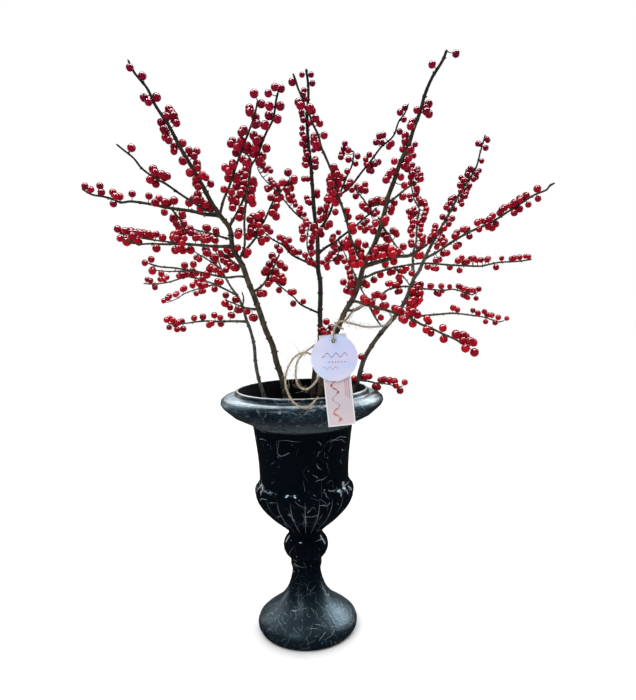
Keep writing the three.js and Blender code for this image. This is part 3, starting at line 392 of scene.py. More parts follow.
# Both prints are laid out in millimetres right of and above the hole.
keep_print_place(round_tag)
thicken(round_tag, card_thickness)
disc_face, tree, shader, place = finish("tag_disc_print", 0.6)
washes = washed(tree, place, 45, (0.60, 0.68, 0.95), (0.72, 0.66, 0.90), (0.76, 0.79, 0.95))
x, y = printed_at(tree)
ink = times(tree, inked(tree, wave(tree, x, y, -15.5, 2.2, 9.5), 0.5), between(tree, x, -13, 15))
printed = mix_colors(tree, times(tree, ink, 0.9), washes, (0.07, 0.04, 0.12))
low_dots = dots_along(tree, x, math_node(tree, "ADD", y, 23.0), 3.4, 0.8)
low_dots = times(tree, low_dots, between(tree, x, -8, 15))
printed = mix_colors(tree, times(tree, low_dots, 0.9), printed, (0.35, 0.02, 0.16))
ink = times(tree, inked(tree, wave(tree, x, y, -29.5, 1.4, 6.0), 0.4), between(tree, x, -12, 4))
printed = mix_colors(tree, times(tree, ink, 0.8), printed, (0.28, 0.12, 0.36))
paint(tree, shader, printed)
bump(tree, shader, noise(tree, place, 1200.0), 0.00005, 0.5)
card_edge, tree, shader, place = finish("tag_card_edge", 0.8)
tooth = noise(tree, place, 900.0)
paint(tree, shader, mix_colors(tree, tooth, (0.8, 0.79, 0.78), (0.9, 0.9, 0.9)))
round_tag.data.materials.append(disc_face)
round_tag.data.materials.append(card_edge)
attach(round_tag, "root")
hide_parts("round_tag")

# Long tag: a strip of the same card, 30 by 101 mm, punched near its top edge, hung behind the
# disc and laid over the urn's rim. A pinkish wash is printed on it inside a bare white margin.
strip_width = 0.030
strip_length = 0.101
strip_lean = math.radians(4.7)
strip_hole = tag_hole + Vector((0, 0.0004, 0))
strip_middle = strip_hole + Vector((0, 0, hole_inset - strip_length / 2))
strip_curl = 0.0007

bpy.ops.object.select_all(action="DESELECT")
bpy.ops.mesh.primitive_grid_add(
    x_subdivisions=10, y_subdivisions=34, size=1, location=strip_middle, rotation=upright
)
long_tag = bpy.context.object
long_tag.name = "tag_long"
long_tag.scale = (strip_width, strip_length, 1)
bpy.ops.object.transform_apply(location=True, rotation=True, scale=True)
thicken(long_tag, card_thickness)
strip_face, tree, shader, place = finish("tag_strip_print", 0.6)
long_tag.data.materials.append(strip_face)
long_tag.data.materials.append(card_edge)
bpy.ops.object.select_all(action="DESELECT")
bpy.ops.mesh.primitive_cylinder_add(
    vertices=32, radius=tag_hole_radius, depth=0.01, location=strip_hole, rotation=upright
)
punch = bpy.context.object
bpy.context.view_layer.objects.active = long_tag
hole = long_tag.modifiers.new("hole", "BOOLEAN")
hole.operation = "DIFFERENCE"
hole.object = punch
bpy.ops.object.modifier_apply(modifier=hole.name)
bpy.data.objects.remove(punch)
keep_print_place(long_tag)
hang = Matrix.Translation(strip_hole) @ Matrix.Rotation(-strip_lean, 4, "Y")
for vertex in long_tag.data.vertices:
    down = (strip_hole.z - vertex.co.z) / strip_length
    vertex.co = hang @ (vertex.co - strip_hole)
    vertex.co.y += strip_curl * math.sin(down * math.pi * 0.9)
washes = washed(tree, place, 40, (0.62, 0.56, 0.62), (0.70, 0.58, 0.62), (0.72, 0.70, 0.76))
x, y = printed_at(tree)
vine_off = wave(tree, y, x, -4.0, 3.4, 15.0)
vine = times(tree, inked(tree, vine_off, 0.5), between(tree, y, -89, -36))
printed = mix_colors(tree, times(tree, vine, 0.85), washes, (0.22, 0.12, 0.14))
beads = times(tree, dots_along(tree, y, vine_off, 4.2, 1.6), between(tree, y, -58, -36))
printed = mix_colors(tree, times(tree, beads, 0.85), printed, (0.38, 0.02, 0.05))
beads = times(tree, dots_along(tree, y, vine_off, 6.0, 2.2), between(tree, y, -90, -74))
printed = mix_colors(tree, times(tree, beads, 0.7), printed, (0.55, 0.12, 0.10))
for level in (7.5, 9.5, 11.5):
    stripe = inked(tree, math_node(tree, "SUBTRACT", x, level), 0.5)
    stripe = times(tree, stripe, between(tree, y, -54 - level, -36))
    printed = mix_colors(tree, times(tree, stripe, 0.7), printed, (0.50, 0.18, 0.24))
side_margin = ramp(tree, math_node(tree, "ABSOLUTE", x), 13.7, 13.9)
margin = larger(tree, side_margin, ramp(tree, y, -92.7, -92.9))
paint(tree, shader, mix_colors(tree, margin, printed, (0.86, 0.86, 0.87)))
bump(tree, shader, noise(tree, place, 60.0), 0.0005, 0.25)
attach(long_tag, "root")
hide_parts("long_tag")

# Urn: heavy cast ceramic in one piece, turned: a domed foot, a waisted stem with two rings, a bowl
# of 22 gadroons, a straight body and a rolled rim with a raised lip. The glaze is blue-black and
# glossy, crazed with fine white veins, scratched, and worn pale along the lip.
urn_outside = [
    (0, 2), (50, 2), (52, 0), (58.5, 0), (61.5, 2), (63.6, 6), (64, 10), (62.2, 15), (57.2, 19.7),
    (51.5, 24), (45.5, 28.5), (39.5, 33), (34, 38.5), (28.2, 45.5), (23.6, 54), (20.8, 62), (18.9, 70),
    (17.9, 77), (18.8, 80), (19.8, 84), (19.8, 90), (20, 93), (22.6, 95), (25.8, 99), (28.2, 104.5),
    (28.8, 110), (27.6, 115.5), (24.6, 120.5), (22.2, 123), (21.6, 127), (22.4, 130), (25.6, 133),
    (31, 138), (35.6, 142), (42.4, 148), (48.2, 154), (54.6, 162), (59.2, 170), (61.9, 177),
    (62.6, 183), (61.6, 188), (58.8, 192), (56.8, 194), (56.5, 202), (56.8, 214), (57.8, 228),
    (59.4, 242), (61.3, 256), (62.6, 266), (64.5, 270), (72, 274), (80, 278), (87.5, 282),
    (92, 286), (96.5, 290), (99.6, 293), (101.8, 297), (101, 301), (97.5, 304), (92, 306),
    (86, 306.2), (83.5, 306.4), (83.4, 309), (82.8, 311.5), (81.2, 312.6), (79.8, 311.8),
]
urn_inside = [
    (76, 298), (62, 276), (56, 261), (51.5, 226), (50, 196), (52, 180), (48, 164), (38, 154),
    (25, 148), (4, 147),
]
lobes = 22
lobe_depth = 3.2
lobe_fullness = 0.6
lobe_middle = 0.7
lobe_bottom = 130
lobe_top = 194


def spun(name, profile, steps):
    """A skin turned about the upright axis from a profile of radii and heights in millimetres."""
    bpy.ops.object.select_all(action="DESELECT")
    bpy.ops.mesh.primitive_plane_add(size=0.01)
    piece = bpy.context.object
    piece.name = name
    bpy.ops.object.mode_set(mode="EDIT")
    bpy.ops.mesh.merge(type="CENTER")
    bpy.ops.transform.translate(value=(0, 0, profile[0][1] / 1000))
    for (radius, height), (next_radius, next_height) in zip(profile, profile[1:]):
        step = ((next_radius - radius) / 1000, 0, (next_height - height) / 1000)
        bpy.ops.mesh.extrude_region_move(TRANSFORM_OT_translate={"value": step})
    bpy.ops.mesh.select_all(action="SELECT")
    bpy.ops.mesh.spin(steps=steps, angle=2 * math.pi, center=(0, 0, 0), axis=(0, 0, 1))
    bpy.ops.mesh.select_all(action="SELECT")
    bpy.ops.mesh.remove_doubles(threshold=0.000001)
    bpy.ops.mesh.normals_make_consistent(inside=False)
    bpy.ops.mesh.select_all(action="DESELECT")
    bpy.ops.object.mode_set(mode="OBJECT")
    bpy.ops.object.shade_smooth()
    return piece


urn = spun("pedestal_urn", urn_outside, 16 * lobes)
lip = urn_outside[-1]
for vertex in urn.data.vertices:
    radius = vertex.co.xy.length * 1000
    height = vertex.co.z * 1000
    share = (height - lobe_bottom) / (lobe_top - lobe_bottom)
    if 0 < share < 1:
        ridge = abs(math.sin(math.atan2(vertex.co.x, -vertex.co.y) * lobes / 2)) - lobe_middle
        vertex.co.xy *= 1 + lobe_depth * math.sin(share * math.pi) ** lobe_fullness * ridge / radius
    vertex.select = abs(radius - lip[0]) < 0.01 and abs(height - lip[1]) < 0.01
bpy.ops.object.mode_set(mode="EDIT")
for (radius, height), (next_radius, next_height) in zip([lip, *urn_inside], urn_inside):
    drop = (0, 0, (next_height - height) / 1000)
    narrower = next_radius / radius
    bpy.ops.mesh.extrude_region_move(TRANSFORM_OT_translate={"value": drop})
    bpy.ops.transform.resize(value=(narrower, narrower, 1), center_override=(0, 0, 0))
bpy.ops.mesh.edge_face_add()
bpy.ops.mesh.select_all(action="SELECT")
bpy.ops.mesh.normals_make_consistent(inside=False)
bpy.ops.object.mode_set(mode="OBJECT")
bpy.ops.object.shade_smooth()

dip, tree, shader, place = finish("urn_bare_inside", 0.9, Specular_IOR_Level=0.02)
grit = noise(tree, place, 300.0, 3.0)
paint(tree, shader, mix_colors(tree, grit, (0.0015, 0.0016, 0.0018), (0.004, 0.0045, 0.005)))
bump(tree, shader, grit, 0.0003, 0.5)


def vector_node(tree, operation, *values):
    made = node(tree, "ShaderNodeVectorMath", dict(enumerate(values)), operation=operation)
    return made.outputs["Value" if operation == "DOT_PRODUCT" else "Vector"]


# Strokes: hair-thin marks, straight or bent, each in its own direction, where chance puts them.
tree, place, scale, end = effect("glaze_hairlines", ["Strokes"])
hairlines = tree
wander = {"Vector": place, "Scale": times(tree, scale, 0.7)}
sway = node(tree, "ShaderNodeTexNoise", wander).outputs["Color"]
shift = {0: vector_node(tree, "SUBTRACT", sway, (0.5, 0.5, 0.5))}
shift["Scale"] = math_node(tree, "DIVIDE", 1.1, scale)
shift = node(tree, "ShaderNodeVectorMath", shift, operation="SCALE").outputs[0]
bent = vector_node(tree, "ADD", place, shift)
cells = node(tree, "ShaderNodeTexVoronoi", {"Vector": bent, "Scale": scale}).outputs
offset = vector_node(tree, "SUBTRACT", bent, cells["Position"])
direction = vector_node(tree, "SUBTRACT", cells["Color"], (0.5, 0.5, 0.5))
facing = node(tree, "ShaderNodeNewGeometry").outputs["Normal"]
level = vector_node(tree, "SUBTRACT", direction, vector_node(tree, "PROJECT", direction, facing))
across = vector_node(tree, "NORMALIZE", level)
off = math_node(tree, "ABSOLUTE", vector_node(tree, "DOT_PRODUCT", offset, across))
hairline = ramp(tree, off, 0.00004, 0.00024, 1.0, 0.0)
reach = ramp(tree, cells["Distance"], 0.35, 0.6, 1.0, 0.0)
kept = ramp(tree, node(tree, "ShaderNodeSeparateColor", {0: cells["Color"]}).outputs[2], 0.35, 0.9)
tree.links.new(times(tree, hairline, reach, kept), end.inputs["Strokes"])

# Specks: tiny round marks, in some places only.
tree, place, scale, end = effect("glaze_specks", ["Specks"])
specks = tree
cells = node(tree, "ShaderNodeTexVoronoi", {"Vector": place, "Scale": scale}).outputs
dot = ramp(tree, cells["Distance"], 0.06, 0.14, 1.0, 0.0)
kept = ramp(tree, node(tree, "ShaderNodeSeparateColor", {0: cells["Color"]}).outputs[0], 0.7, 1.0)
tree.links.new(times(tree, dot, kept), end.inputs["Specks"])

# Glaze: its zones are heights in metres above the underside of the foot.
glaze, tree, shader, place = finish(
    "urn_glaze", 0.2, Specular_IOR_Level=0.5, Specular_Tint=(0.6, 0.86, 1, 1)
)
x, y, height = axes_of(tree, place)
on_foot = ramp(tree, height, 0.081, 0.036)
on_rim = ramp(tree, height, 0.268, 0.291)
on_bowl = times(tree, ramp(tree, height, 0.116, 0.156), ramp(tree, height, 0.206, 0.186))
scratched = larger(tree, on_foot, on_rim)
busy = math_node(tree, "ADD", noise(tree, place, 22.0, 1.0), times(tree, on_bowl, 0.05))
busy = ramp(tree, busy, 0.44, 0.56)
most = larger(tree, busy, times(tree, scratched, 0.6))
strokes = {size: use(tree, hairlines, place, size)["Strokes"] for size in (31, 43, 66, 110, 150)}
long_marks = times(tree, larger(tree, strokes[31], strokes[43]), most, 0.55)
short_marks = times(tree, strokes[66], most)
fine_marks = times(tree, larger(tree, strokes[110], strokes[150]), scratched, 0.6)
dots = times(tree, use(tree, specks, place, 170)["Specks"], busy)
groove = math_node(tree, "ARCTAN2", x, times(tree, y, -1.0))
groove = math_node(tree, "ABSOLUTE", math_node(tree, "SINE", times(tree, groove, lobes / 2)))
in_grooves = times(tree, ramp(tree, height, 0.13, 0.136), ramp(tree, height, 0.186, 0.171))
# Pale lines down the valleys between the lobes are painted highlights, standing in for light reflected
# along the ridges.
painted_groove_glint = times(tree, ramp(tree, groove, 0.03, 0.12, 0.24, 0.0), in_grooves)
# A broken pale line round the shoulder, where the bowl meets the body, is a painted highlight.
painted_shoulder_glint = math_node(tree, "ABSOLUTE", math_node(tree, "SUBTRACT", height, 0.1935))
painted_shoulder_glint = ramp(tree, painted_shoulder_glint, 0.0002, 0.0006, 0.5, 0.0)
painted_shoulder_glint = times(tree, painted_shoulder_glint, ramp(tree, noise(tree, place, 55.0), 0.5, 0.62))
# The pale marks join the glaze's own veins, scratches and specks with the painted highlights in the
# grooves and at the shoulder.
marks = larger(tree, long_marks, short_marks, dots, fine_marks, painted_groove_glint, painted_shoulder_glint)
flat = node(tree, "ShaderNodeMapping", {"Vector": place, "Scale": (1.0, 1.0, 3.5)}).outputs[0]
fleck = noise(tree, flat, 300.0, 4.0, 0.7)
cloudy = ramp(tree, noise(tree, place, 14.0, 1.0), 0.42, 0.62, 0.0, 0.6)
# On the rim's upper side the glaze is painted a pale steel blue in flecks: partly rubbed glaze and partly
# painted highlight, standing in for the light the rim reflects.
rubbed_and_painted_sheen = times(tree, ramp(tree, height, 0.287, 0.296), ramp(tree, height, 0.3095, 0.306))
rubbed_and_painted_sheen = times(tree, rubbed_and_painted_sheen, ramp(tree, fleck, 0.5, 0.62), cloudy)
# Under the rim a brownish grey band is painted in flecks: a painted reflection of the floor, which the
# glaze doesn't mirror.
painted_reflection_under_rim = times(tree, ramp(tree, height, 0.267, 0.27), ramp(tree, height, 0.29, 0.276))
painted_reflection_under_rim = times(tree, painted_reflection_under_rim, ramp(tree, fleck, 0.42, 0.6, 0.15, 0.45))
worn = ramp(tree, height, 0.3116, 0.3126, 0.0, 0.8)
color = mix_colors(tree, scratched, (0.0014, 0.0032, 0.0055), (0.003, 0.009, 0.016))
color = mix_colors(tree, rubbed_and_painted_sheen, color, (0.17, 0.27, 0.34))
color = mix_colors(tree, painted_reflection_under_rim, color, (0.17, 0.20, 0.22))
color = mix_colors(tree, marks, color, (0.58, 0.64, 0.68))
paint(tree, shader, mix_colors(tree, worn, color, (0.6, 0.6, 0.58)))
dull = larger(tree, marks, times(tree, scratched, 0.7), on_foot)
tree.links.new(ramp(tree, dull, 0.0, 1.0, 0.12, 0.38), shader.inputs["Roughness"])
streaks = {"Vector": place, "Rotation": (0.3, 0.5, 0.7), "Scale": (1.0, 1.0, 0.25)}
uneven = noise(tree, node(tree, "ShaderNodeMapping", streaks).outputs[0], 260.0, 3.0)
relief = math_node(tree, "ADD", times(tree, uneven, scratched), times(tree, marks, 0.5))
bump(tree, shader, relief, 0.0006, 0.8)
urn.data.materials.append(glaze)
urn.data.materials.append(dip)
hollow_floor = 0.1465
hollow_top = 0.308
hollow_radius = 0.0795
floor_radius = 0.05
for face in urn.data.polygons:
    middle = face.center
    reach = middle.xy.length
    in_hollow = hollow_floor < middle.z < hollow_top and reach < hollow_radius
    faces_in = face.normal.xy.dot(middle.xy) < 0 or reach < floor_radius
    if in_hollow and faces_in and face.normal.z > -0.4:
        face.material_index = 1
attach(urn, "root")
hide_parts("urn")

# Water: clear, poured in to keep the cut stems fresh. It fills the bowl and the foot of the body,
# and its edge is drawn up a little at the wall.
water_profile = [
    (0, 147.3), (24.5, 148.3), (37.5, 154.4), (47.4, 164), (51.4, 180), (49.4, 196), (50.4, 218),
    (50.9, 222.2), (49.8, 221.3), (47.5, 221), (20, 221), (0, 221),
]
water = spun("urn_water", water_profile, 96)
clear_water, tree, shader, place = finish("water", 0.02, Transmission_Weight=1.0, IOR=1.333)
ripple = noise(tree, place, 30.0, 1.0)
paint(tree, shader, mix_colors(tree, ripple, (0.80, 0.86, 0.78), (0.86, 0.90, 0.84)))
bump(tree, shader, ripple, 0.0003, 0.3)
water.data.materials.append(clear_water)
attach(water, "root")
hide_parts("water")

# Branches: five cut, leafless winterberry stems that stand on the urn's floor, each one grown piece
# of grey-brown bark. A point [across, up] is where an eye 735 mm before the urn's axis sees it on
# the upright plane through that axis, and "back" is how far behind the plane it really lies.
eye_distance = 735
eye_height = 429.5
urn_floor = 147.3
cut_end = 2
stem_taper = 2.2  # a stem keeps its thickness for most of its length


def placed(across, up, back):
    scale = (eye_distance + back) / eye_distance
    return Vector((across * scale, back, eye_height + (up - eye_height) * scale))


def seen(x, y, z):
    scale = (eye_distance + y) / eye_distance
    return [x / scale, eye_height + (z - eye_height) / scale, y]


def nearest_on(way, across, up):
    """The nearest place on a way as seen from the front: point, distance, direction and radius."""
    best = None
    for i, (a, b) in enumerate(zip(way["flat"], way["flat"][1:])):
        dx, dy = b[0] - a[0], b[1] - a[1]
        share = ((across - a[0]) * dx + (up - a[1]) * dy) / (dx * dx + dy * dy)
        share = min(max(share, 0), 1)
        point = [p + (q - p) * share for p, q in zip(a, b)]
        distance = math.hypot(across - point[0], up - point[1])
        if best is None or distance < best[1]:
            along = (way["points"][i + 1] - way["points"][i]).normalized()
            radius = way["radii"][i] + (way["radii"][i + 1] - way["radii"][i]) * share
            best = (point, distance, along, radius)
    return best


def runs(points):
    """How far along the line each of its points lies, as seen from the front."""
    run = [0]
    for a, b in zip(points, points[1:]):
        run.append(run[-1] + math.hypot(b[0] - a[0], b[1] - a[1]))
    return run


def way_of(flat, thick, fruit, taper=1):
    """A stem or twig: its points as seen and in space, and its radii, in millimetres."""
    run = runs(flat)
    radii = [thick[0] + (thick[1] - thick[0]) * (length / run[-1]) ** taper for length in run]
    points = [placed(*point) for point in flat]
    return {"flat": flat, "points": points, "radii": radii, "fruit": fruit}


def grow(branch):
    x, y = branch["foot"]
    stem = branch["stem"]
    foot = [seen(x, y, urn_floor), seen(x, y, urn_floor + cut_end)]
    ways = [way_of(foot + stem["route"], stem["thick"], stem["fruit"], stem_taper)]
    for twig in branch["twigs"]:
        root = min((nearest_on(way, *twig["route"][0]) for way in ways), key=lambda spot: spot[1])[0]
        route = [root] + twig["route"][1:]
        run = runs(route)
        flat = [
            [point[0], point[1], root[2] + (twig["back"] - root[2]) * length / run[-1]]
            for point, length in zip(route, run)
        ]
        ways.append(way_of(flat, twig["thick"], twig["fruit"]))
    return ways


branch_left = {
  "foot": [-9, -16],
  "stem": {
    "thick": [3.6, 1.1],
    "route": [
      [-20, 296, -34], [-25, 326, -38], [-31, 346, -42], [-35, 366, -46], [-43, 386, -50],
      [-49, 406, -52], [-55, 425, -55], [-63, 447, -58], [-69, 466, -61], [-80, 487, -64],
      [-83, 511, -67], [-94, 527, -70], [-103, 541, -73], [-114, 563, -77], [-128, 589, -80],
      [-139, 609, -83], [-151, 634, -86], [-166, 658, -89], [-175, 678, -91], [-189, 696, -94],
      [-196, 711, -96],
    ],
    "fruit": [
      [-190, 701, 1], [-181, 691, 1], [-179, 667, 1], [-174, 662, 1], [-165, 667, 1], [-146, 645, 5],
      [-160, 638, 1], [-157, 628, 2], [-154, 619, 2], [-137, 613, 1], [-147, 609, 3], [-125, 602, 3],
      [-136, 593, 1], [-119, 587, 2], [-128, 579, 1], [-112, 574, 2], [-121, 566, 3], [-104, 565, 1],
      [-120, 555, 2], [-104, 537, 1], [-154, 644, 1], [-119, 604, 1],
    ],
  },
  "twigs": [
    {
      "back": -60, "thick": [2.1, 1.0],
      "route": [
        [-96, 526], [-112, 529], [-128, 533], [-153, 537], [-181, 543], [-202, 546], [-213, 545],
        [-223, 549], [-232, 552], [-247, 555], [-259, 562],
      ],
      "fruit": [
        [-255, 565, 1], [-249, 560, 1], [-237, 565, 1], [-236, 556, 1], [-222, 557, 1], [-217, 551, 2],
        [-222, 544, 1], [-199, 555, 1], [-179, 552, 1], [-172, 542, 2], [-167, 549, 1], [-160, 546, 3],
        [-149, 546, 1], [-159, 539, 1], [-131, 543, 1], [-118, 533, 1],
      ],
    },
    {
      "back": 20, "thick": [1.2, 0.7],
      "route": [[-153, 537], [-147, 529], [-141, 521], [-139, 514], [-133, 508]],
      "fruit": [
        [-134, 508, 2], [-150, 527, 1], [-145, 527, 1], [-140, 530, 1], [-142, 521, 2], [-141, 515, 1],
        [-136, 512, 2], [-143, 523, 1],
      ],
    },
    {
      "back": -120, "thick": [1.5, 1.0],
      "route": [
        [-97, 528], [-116, 537], [-127, 544], [-143, 555], [-158, 566], [-169, 572], [-186, 585],
        [-195, 597], [-208, 608], [-215, 614],
      ],
      "fruit": [
        [-197, 609, 1], [-171, 582, 2], [-163, 576, 3], [-176, 572, 1], [-170, 566, 1], [-156, 575, 1],
        [-122, 546, 3], [-112, 539, 1],
      ],
    },
    {
      "back": -100, "thick": [1.9, 0.8],
      "route": [
        [-80, 490], [-100, 490], [-120, 492], [-142, 494], [-163, 494], [-180, 495], [-196, 495],
        [-205, 499], [-214, 501],
      ],
      "fruit": [
        [-205, 500, 2], [-165, 502, 1], [-173, 490, 1], [-150, 502, 2], [-146, 496, 3], [-141, 502, 2],
        [-148, 488, 2], [-141, 486, 1], [-128, 492, 2], [-133, 488, 1], [-113, 497, 2], [-107, 497, 1],
        [-143, 494, 1],
      ],
    },
    {
      "back": 10, "thick": [1.2, 0.7],
      "route": [[-138, 494], [-160, 497], [-180, 500], [-200, 504], [-218, 508]],
      "fruit": [
        [-216, 510, 3], [-208, 509, 4], [-200, 507, 4], [-190, 506, 4], [-182, 506, 3], [-213, 502, 3],
        [-203, 501, 3], [-195, 500, 2], [-150, 505, 2], [-144, 507, 2], [-174, 499, 1],
      ],
    },
    {
      "back": 40, "thick": [1.4, 0.7],
      "route": [[-83, 498], [-92, 501], [-103, 505], [-115, 508], [-128, 512], [-137, 517]],
      "fruit": [
        [-135, 514, 2], [-130, 511, 2], [-122, 507, 3], [-112, 509, 2], [-105, 507, 2], [-100, 509, 1],
        [-97, 503, 1], [-112, 500, 3], [-104, 499, 2], [-120, 502, 2],
      ],
    },
    {
      "back": -5, "thick": [1.3, 1.0],
      "route": [
        [-64, 452], [-73, 453], [-90, 452], [-104, 455], [-120, 459], [-131, 461], [-152, 465],
        [-170, 467], [-183, 471],
      ],
      "fruit": [
        [-188, 472, 1], [-180, 476, 1], [-178, 469, 1], [-140, 467, 1], [-129, 469, 1], [-127, 465, 1],
        [-113, 458, 3], [-105, 462, 2], [-98, 460, 2], [-104, 467, 1],
      ],
    },
    {
      "back": 75, "thick": [1.2, 0.7],
      "route": [[-129, 461], [-143, 461], [-160, 461], [-176, 463]],
      "fruit": [[-178, 464, 2], [-173, 463, 2], [-170, 459, 2], [-137, 461, 2], [-131, 459, 1]],
    },
    {
      "back": 40, "thick": [1.2, 0.7],
      "route": [[-92, 453], [-93, 459], [-100, 466], [-108, 472], [-119, 479], [-131, 487]],
      "fruit": [
        [-125, 477, 1], [-121, 476, 1], [-112, 482, 2], [-113, 486, 2], [-103, 477, 2], [-107, 473, 1],
        [-116, 488, 1],
      ],
    },
    {
      "back": 0, "thick": [1.3, 0.7],
      "route": [[-69, 463], [-78, 469], [-86, 476], [-93, 482], [-99, 486]],
      "fruit": [
        [-99, 484, 1], [-90, 478, 3], [-86, 474, 3], [-84, 469, 2], [-78, 464, 2], [-88, 466, 2],
        [-82, 481, 2], [-90, 479, 1],
      ],
    },
    {
      "back": -115, "thick": [1.5, 1.0],
      "route": [
        [-93, 529], [-89, 546], [-82, 561], [-78, 571], [-70, 592], [-61, 614], [-52, 635], [-47, 649],
        [-44, 662],
      ],
      "fruit": [
        [-48, 670, 1], [-40, 658, 1], [-54, 653, 1], [-50, 642, 3], [-46, 635, 1], [-63, 626, 2],
        [-59, 623, 1], [-50, 621, 1], [-67, 611, 3], [-78, 612, 1], [-79, 605, 1], [-71, 603, 2],
        [-60, 608, 2], [-76, 589, 1], [-79, 583, 3], [-80, 573, 2], [-71, 571, 2], [-88, 558, 1],
        [-79, 547, 1], [-81, 556, 1], [-86, 584, 1],
      ],
    },
    {
      "back": -20, "thick": [1.8, 0.8],
      "route": [
        [-84, 513], [-79, 521], [-73, 530], [-67, 542], [-62, 554], [-58, 566], [-57, 578], [-54, 589],
        [-58, 598], [-68, 604], [-82, 611],
      ],
      "fruit": [
        [-80, 609, 1], [-60, 600, 3], [-52, 602, 2], [-62, 590, 4], [-58, 583, 2], [-66, 578, 1],
        [-60, 577, 2], [-64, 570, 3], [-72, 563, 2], [-66, 563, 3], [-66, 555, 2], [-73, 553, 3],
        [-62, 552, 2], [-77, 540, 3], [-71, 542, 2], [-67, 532, 2], [-69, 526, 2],
      ],
    },
    {
      "back": -130, "thick": [1.3, 1.1],
      "route": [
        [-71, 474], [-66, 489], [-65, 501], [-65, 517], [-63, 536], [-60, 554], [-57, 571], [-54, 586],
        [-47, 596], [-40, 613], [-34, 626], [-27, 638], [-24, 649], [-22, 661], [-19, 672],
      ],
      "fruit": [
        [-23, 677, 1], [-17, 674, 1], [-31, 670, 1], [-30, 655, 1], [-17, 655, 1], [-30, 644, 1],
        [-21, 640, 1], [-36, 633, 1], [-41, 612, 2], [-48, 611, 3], [-33, 602, 1], [-51, 602, 2],
        [-43, 593, 3], [-53, 590, 2], [-55, 567, 2], [-55, 558, 1], [-58, 550, 2], [-54, 541, 1],
        [-72, 505, 2], [-66, 482, 2], [-74, 488, 1],
      ],
    },
    {
      "back": -45, "thick": [1.4, 1.0],
      "route": [
        [-69, 480], [-58, 492], [-50, 502], [-46, 511], [-40, 521], [-31, 539], [-26, 549], [-20, 554],
        [-12, 563], [-8, 569],
      ],
      "fruit": [
        [-10, 577, 1], [-3, 569, 1], [-13, 572, 1], [-9, 570, 2], [-17, 565, 1], [-22, 569, 1],
        [-9, 557, 2], [-24, 547, 2], [-31, 547, 1], [-25, 538, 1], [-29, 531, 2], [-26, 527, 2],
        [-44, 528, 1], [-56, 523, 2], [-50, 521, 3], [-43, 521, 2], [-56, 512, 3], [-47, 512, 3],
        [-38, 511, 1], [-50, 504, 3], [-44, 496, 2], [-38, 498, 1], [-58, 502, 2],
      ],
    },
    {
      "back": -15, "thick": [1.6, 0.7],
      "route": [
        [-58, 433], [-51, 437], [-43, 444], [-37, 454], [-31, 463], [-26, 473], [-22, 483], [-20, 488],
      ],
      "fruit": [
        [-24, 481, 1], [-40, 446, 2], [-46, 431, 2], [-40, 458, 2], [-36, 462, 3], [-26, 471, 3],
        [-22, 468, 2], [-17, 462, 1], [-28, 456, 2], [-30, 451, 2],
      ],
    },
    {
      "back": 45, "thick": [1.5, 0.7],
      "route": [[-53, 411], [-66, 414], [-79, 419], [-92, 425]],
      "fruit": [
        [-88, 424, 3], [-80, 424, 3], [-86, 415, 1], [-84, 405, 1], [-75, 414, 2], [-66, 409, 2],
        [-58, 402, 2],
      ],
    },
  ],
}
branch_left_back = {
  "foot": [-17, 0],
  "stem": {
    "thick": [2.5, 1.8],
    "route": [
      [-47, 299, 0], [-54, 326, 6], [-57, 346, 12], [-58, 366, 18], [-62, 386, 24], [-67, 401, 29],
      [-70, 414, 34], [-77, 430, 40],
    ],
    "fruit": [],
  },
  "twigs": [
    {
      "back": 150, "thick": [1.5, 1.0],
      "route": [
        [-77, 430], [-92, 438], [-104, 444], [-120, 450], [-135, 454], [-160, 448], [-176, 446],
        [-191, 447],
      ],
      "fruit": [
        [-184, 451, 2], [-180, 447, 2], [-170, 450, 1], [-164, 452, 2], [-146, 457, 2], [-140, 456, 2],
        [-127, 453, 2], [-121, 452, 2], [-118, 456, 2], [-114, 446, 1], [-122, 443, 2], [-104, 439, 1],
        [-99, 446, 2],
      ],
    },
    {
      "back": 120, "thick": [1.5, 1.0],
      "route": [[-77, 430], [-84, 440], [-91, 453], [-97, 468], [-101, 484]],
      "fruit": [[-101, 486, 2], [-100, 472, 1], [-98, 480, 2], [-92, 462, 2]],
    },
    {
      "back": 95, "thick": [1.7, 0.9],
      "route": [
        [-66, 397], [-85, 398], [-100, 398], [-120, 399], [-140, 397], [-152, 396], [-163, 397],
      ],
      "fruit": [
        [-163, 399, 2], [-155, 397, 3], [-148, 396, 2], [-145, 390, 1], [-131, 403, 1], [-120, 404, 1],
        [-106, 406, 1], [-86, 406, 1], [-113, 396, 1], [-104, 399, 2], [-96, 397, 1], [-162, 394, 1],
      ],
    },
    {
      "back": 20, "thick": [1.1, 0.8],
      "route": [[-71, 416], [-69, 426], [-71, 434]],
      "fruit": [],
    },
    {
      "back": 200, "thick": [1.2, 0.7],
      "route": [[-104, 444], [-120, 440], [-140, 434], [-152, 427], [-163, 423]],
      "fruit": [
        [-160, 426, 2], [-150, 430, 2], [-141, 436, 2], [-131, 438, 2], [-120, 437, 2], [-167, 425, 1],
      ],
    },
  ],
}
